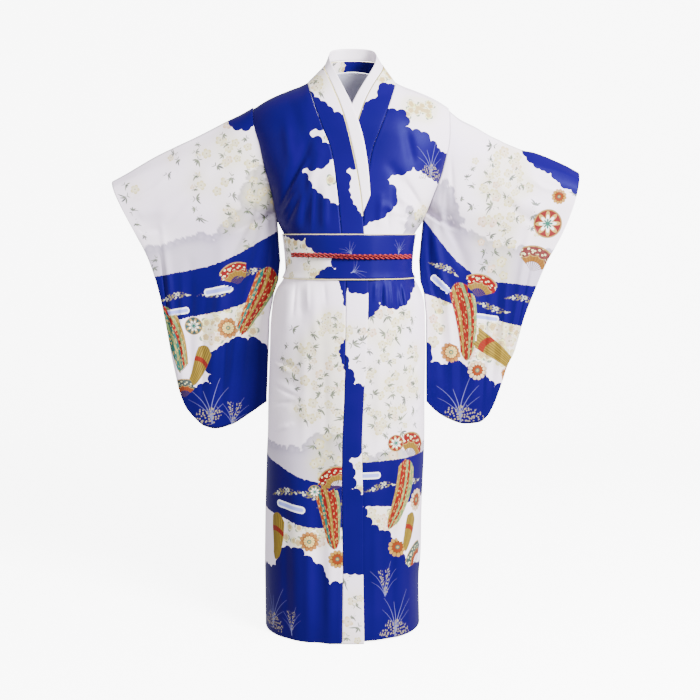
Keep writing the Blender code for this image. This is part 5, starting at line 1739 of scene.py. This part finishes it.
obi_small = small_motifs(
    strewn=[((-0.2, -0.455), (-0.06, -0.37), 26, (PEONY, BLOSSOM, SPRIG), (0.012, 0.019)),
            ((0.28, -0.455), (0.4, -0.37), 20, (PEONY, BLOSSOM), (0.012, 0.019))],
    placed=[[-0.004, -0.388, 0.02, 0.018, 0.5, TUFT, 0.95], [0.02, -0.436, 0.026, 0.018, -1.1, TUFT, 0.95],
            [0.128, -0.382, 0.02, 0.022, -0.2, TUFT, 0.95]])
obi = printed_sheet("belt", "obi", obi_grid, obi_flat, OBI_BLUE, OBI_WHITE, [], obi_small, [], 83,
                    thick=BELT)

loop = np.linspace(-np.pi, np.pi, 320, endpoint=False)
for name, node, level, way in (("upper_belt_piping", "piping_top", BELT_TOP, 1),
                               ("lower_belt_piping", "piping_bottom", BELT_BOTTOM, -1)):
    path = belt_ring(level + way * (0.0004 + PIPING / 2), BELT + 0.0002 - PIPING / 2, loop)
    tube(name, node, [path], PIPING / 2, 8, GOLD, closed=True)


CORD_LEVEL = -0.4065


def belt_front(x, z, lift):
    """Points on the front of the belt, standing off it by a lift."""
    ring = belt_ring(CORD_LEVEL, 0.0, np.linspace(-np.pi / 2, np.pi / 2, 361))
    y = np.interp(x, ring[:, 0], ring[:, 1])
    return np.stack([x, y - lift, z], axis=1)


# The braid runs over the front of the belt, dropping a little: start, span, turns and swing of its strands
CORD_START = (-0.1390, -0.4040)
CORD_SPAN = (0.2855, -0.0050)
CORD_TURNS = 8
CORD_RADIUS = 0.0020
CORD_SWING = 0.0040
CORD_DEPTH = 0.0025
CORD_LIFT = 0.0060
t = np.linspace(0, 1, 420)
cord_x = CORD_START[0] + CORD_SPAN[0] * t
cord_z = CORD_START[1] + CORD_SPAN[1] * t + 0.0006 * np.sin(9 * t)
strands = []
for k in range(3):
    phase = 2 * np.pi * (CORD_TURNS * t + k / 3)
    stand = BELT + CORD_LIFT + CORD_DEPTH * np.sin(2 * phase)
    strands.append(belt_front(cord_x, cord_z + CORD_SWING * np.sin(phase), stand))
tube("braided_cord", "obi_cord", strands, CORD_RADIUS, 8, RED)

# --- Floor, light and camera --------------------------------------------------------------------------


FLOOR_Z = -1.3342


def backdrop():
    """Floor that curves up into a wall behind: flat, a quarter circle, then upright."""
    bend = np.linspace(0, np.pi / 2, 25)
    y = np.concatenate([[-5.0, -2.0, 0.0, 1.8], 2.0 + 1.2 * np.sin(bend), [3.2, 3.2]])
    z = np.concatenate([[0.0, 0.0, 0.0, 0.0], 1.2 * (1 - np.cos(bend)), [3.0, 6.0]])
    x = np.linspace(-6, 6, 9)
    grid = np.stack(np.broadcast_arrays(x[None], y[:, None], z[:, None] + FLOOR_Z), axis=2)
    quads = grid_faces(*grid.shape[:2])
    material = new_material("backdrop", 0.9, Base_Color=(0.92, 0.92, 0.92, 1),
                            Emission_Color=(1, 1, 1, 1), Emission_Strength=7.0)[0]
    obj = add_mesh("backdrop", grid.reshape(-1, 3), quads, np.ones(len(quads), bool), material)
    obj.visible_diffuse = False
    obj.visible_glossy = False
    return obj


backdrop()


def area_light(name, place, target, size, power):
    """Square soft light at a place, turned to a target."""
    lamp = bpy.data.lights.new(name, "AREA")
    lamp.shape = "SQUARE"
    lamp.size = size
    lamp.energy = power
    obj = bpy.data.objects.new(name, lamp)
    obj.location = place
    way = np.array(target) - np.array(place)
    flat_way = math.hypot(way[0], way[1])
    obj.rotation_euler = (math.atan2(flat_way, -way[2]), 0, math.atan2(way[1], way[0]) - math.pi / 2)
    bpy.context.scene.collection.objects.link(obj)


area_light("key light", (2.1, -2.2, 0.9), (0, 0, -0.6), 1.2, 460)
area_light("fill light", (-2.4, -2.4, -0.1), (0, 0, -0.7), 2.2, 56)
world = bpy.data.worlds.new("studio")
world.use_nodes = True
world.node_tree.nodes["Background"].inputs[0].default_value = (1, 1, 1, 1)
world.node_tree.nodes["Background"].inputs[1].default_value = 0.75
bpy.context.scene.world = world

# Camera: focal length in picture pixels, and degrees that it looks down
SENSOR = 36
FOCAL_PIXELS = 1055
PICTURE_PIXELS = 700
CAMERA_DOWN = 6.2746
camera = bpy.data.cameras.new("camera")
camera.sensor_width = SENSOR
camera.lens = FOCAL_PIXELS / PICTURE_PIXELS * SENSOR
eye = bpy.data.objects.new("camera", camera)
eye.location = (0, -2.6, -0.355)
eye.rotation_euler = (math.radians(90 - CAMERA_DOWN), 0, 0)
bpy.context.scene.collection.objects.link(eye)
bpy.context.scene.camera = eye
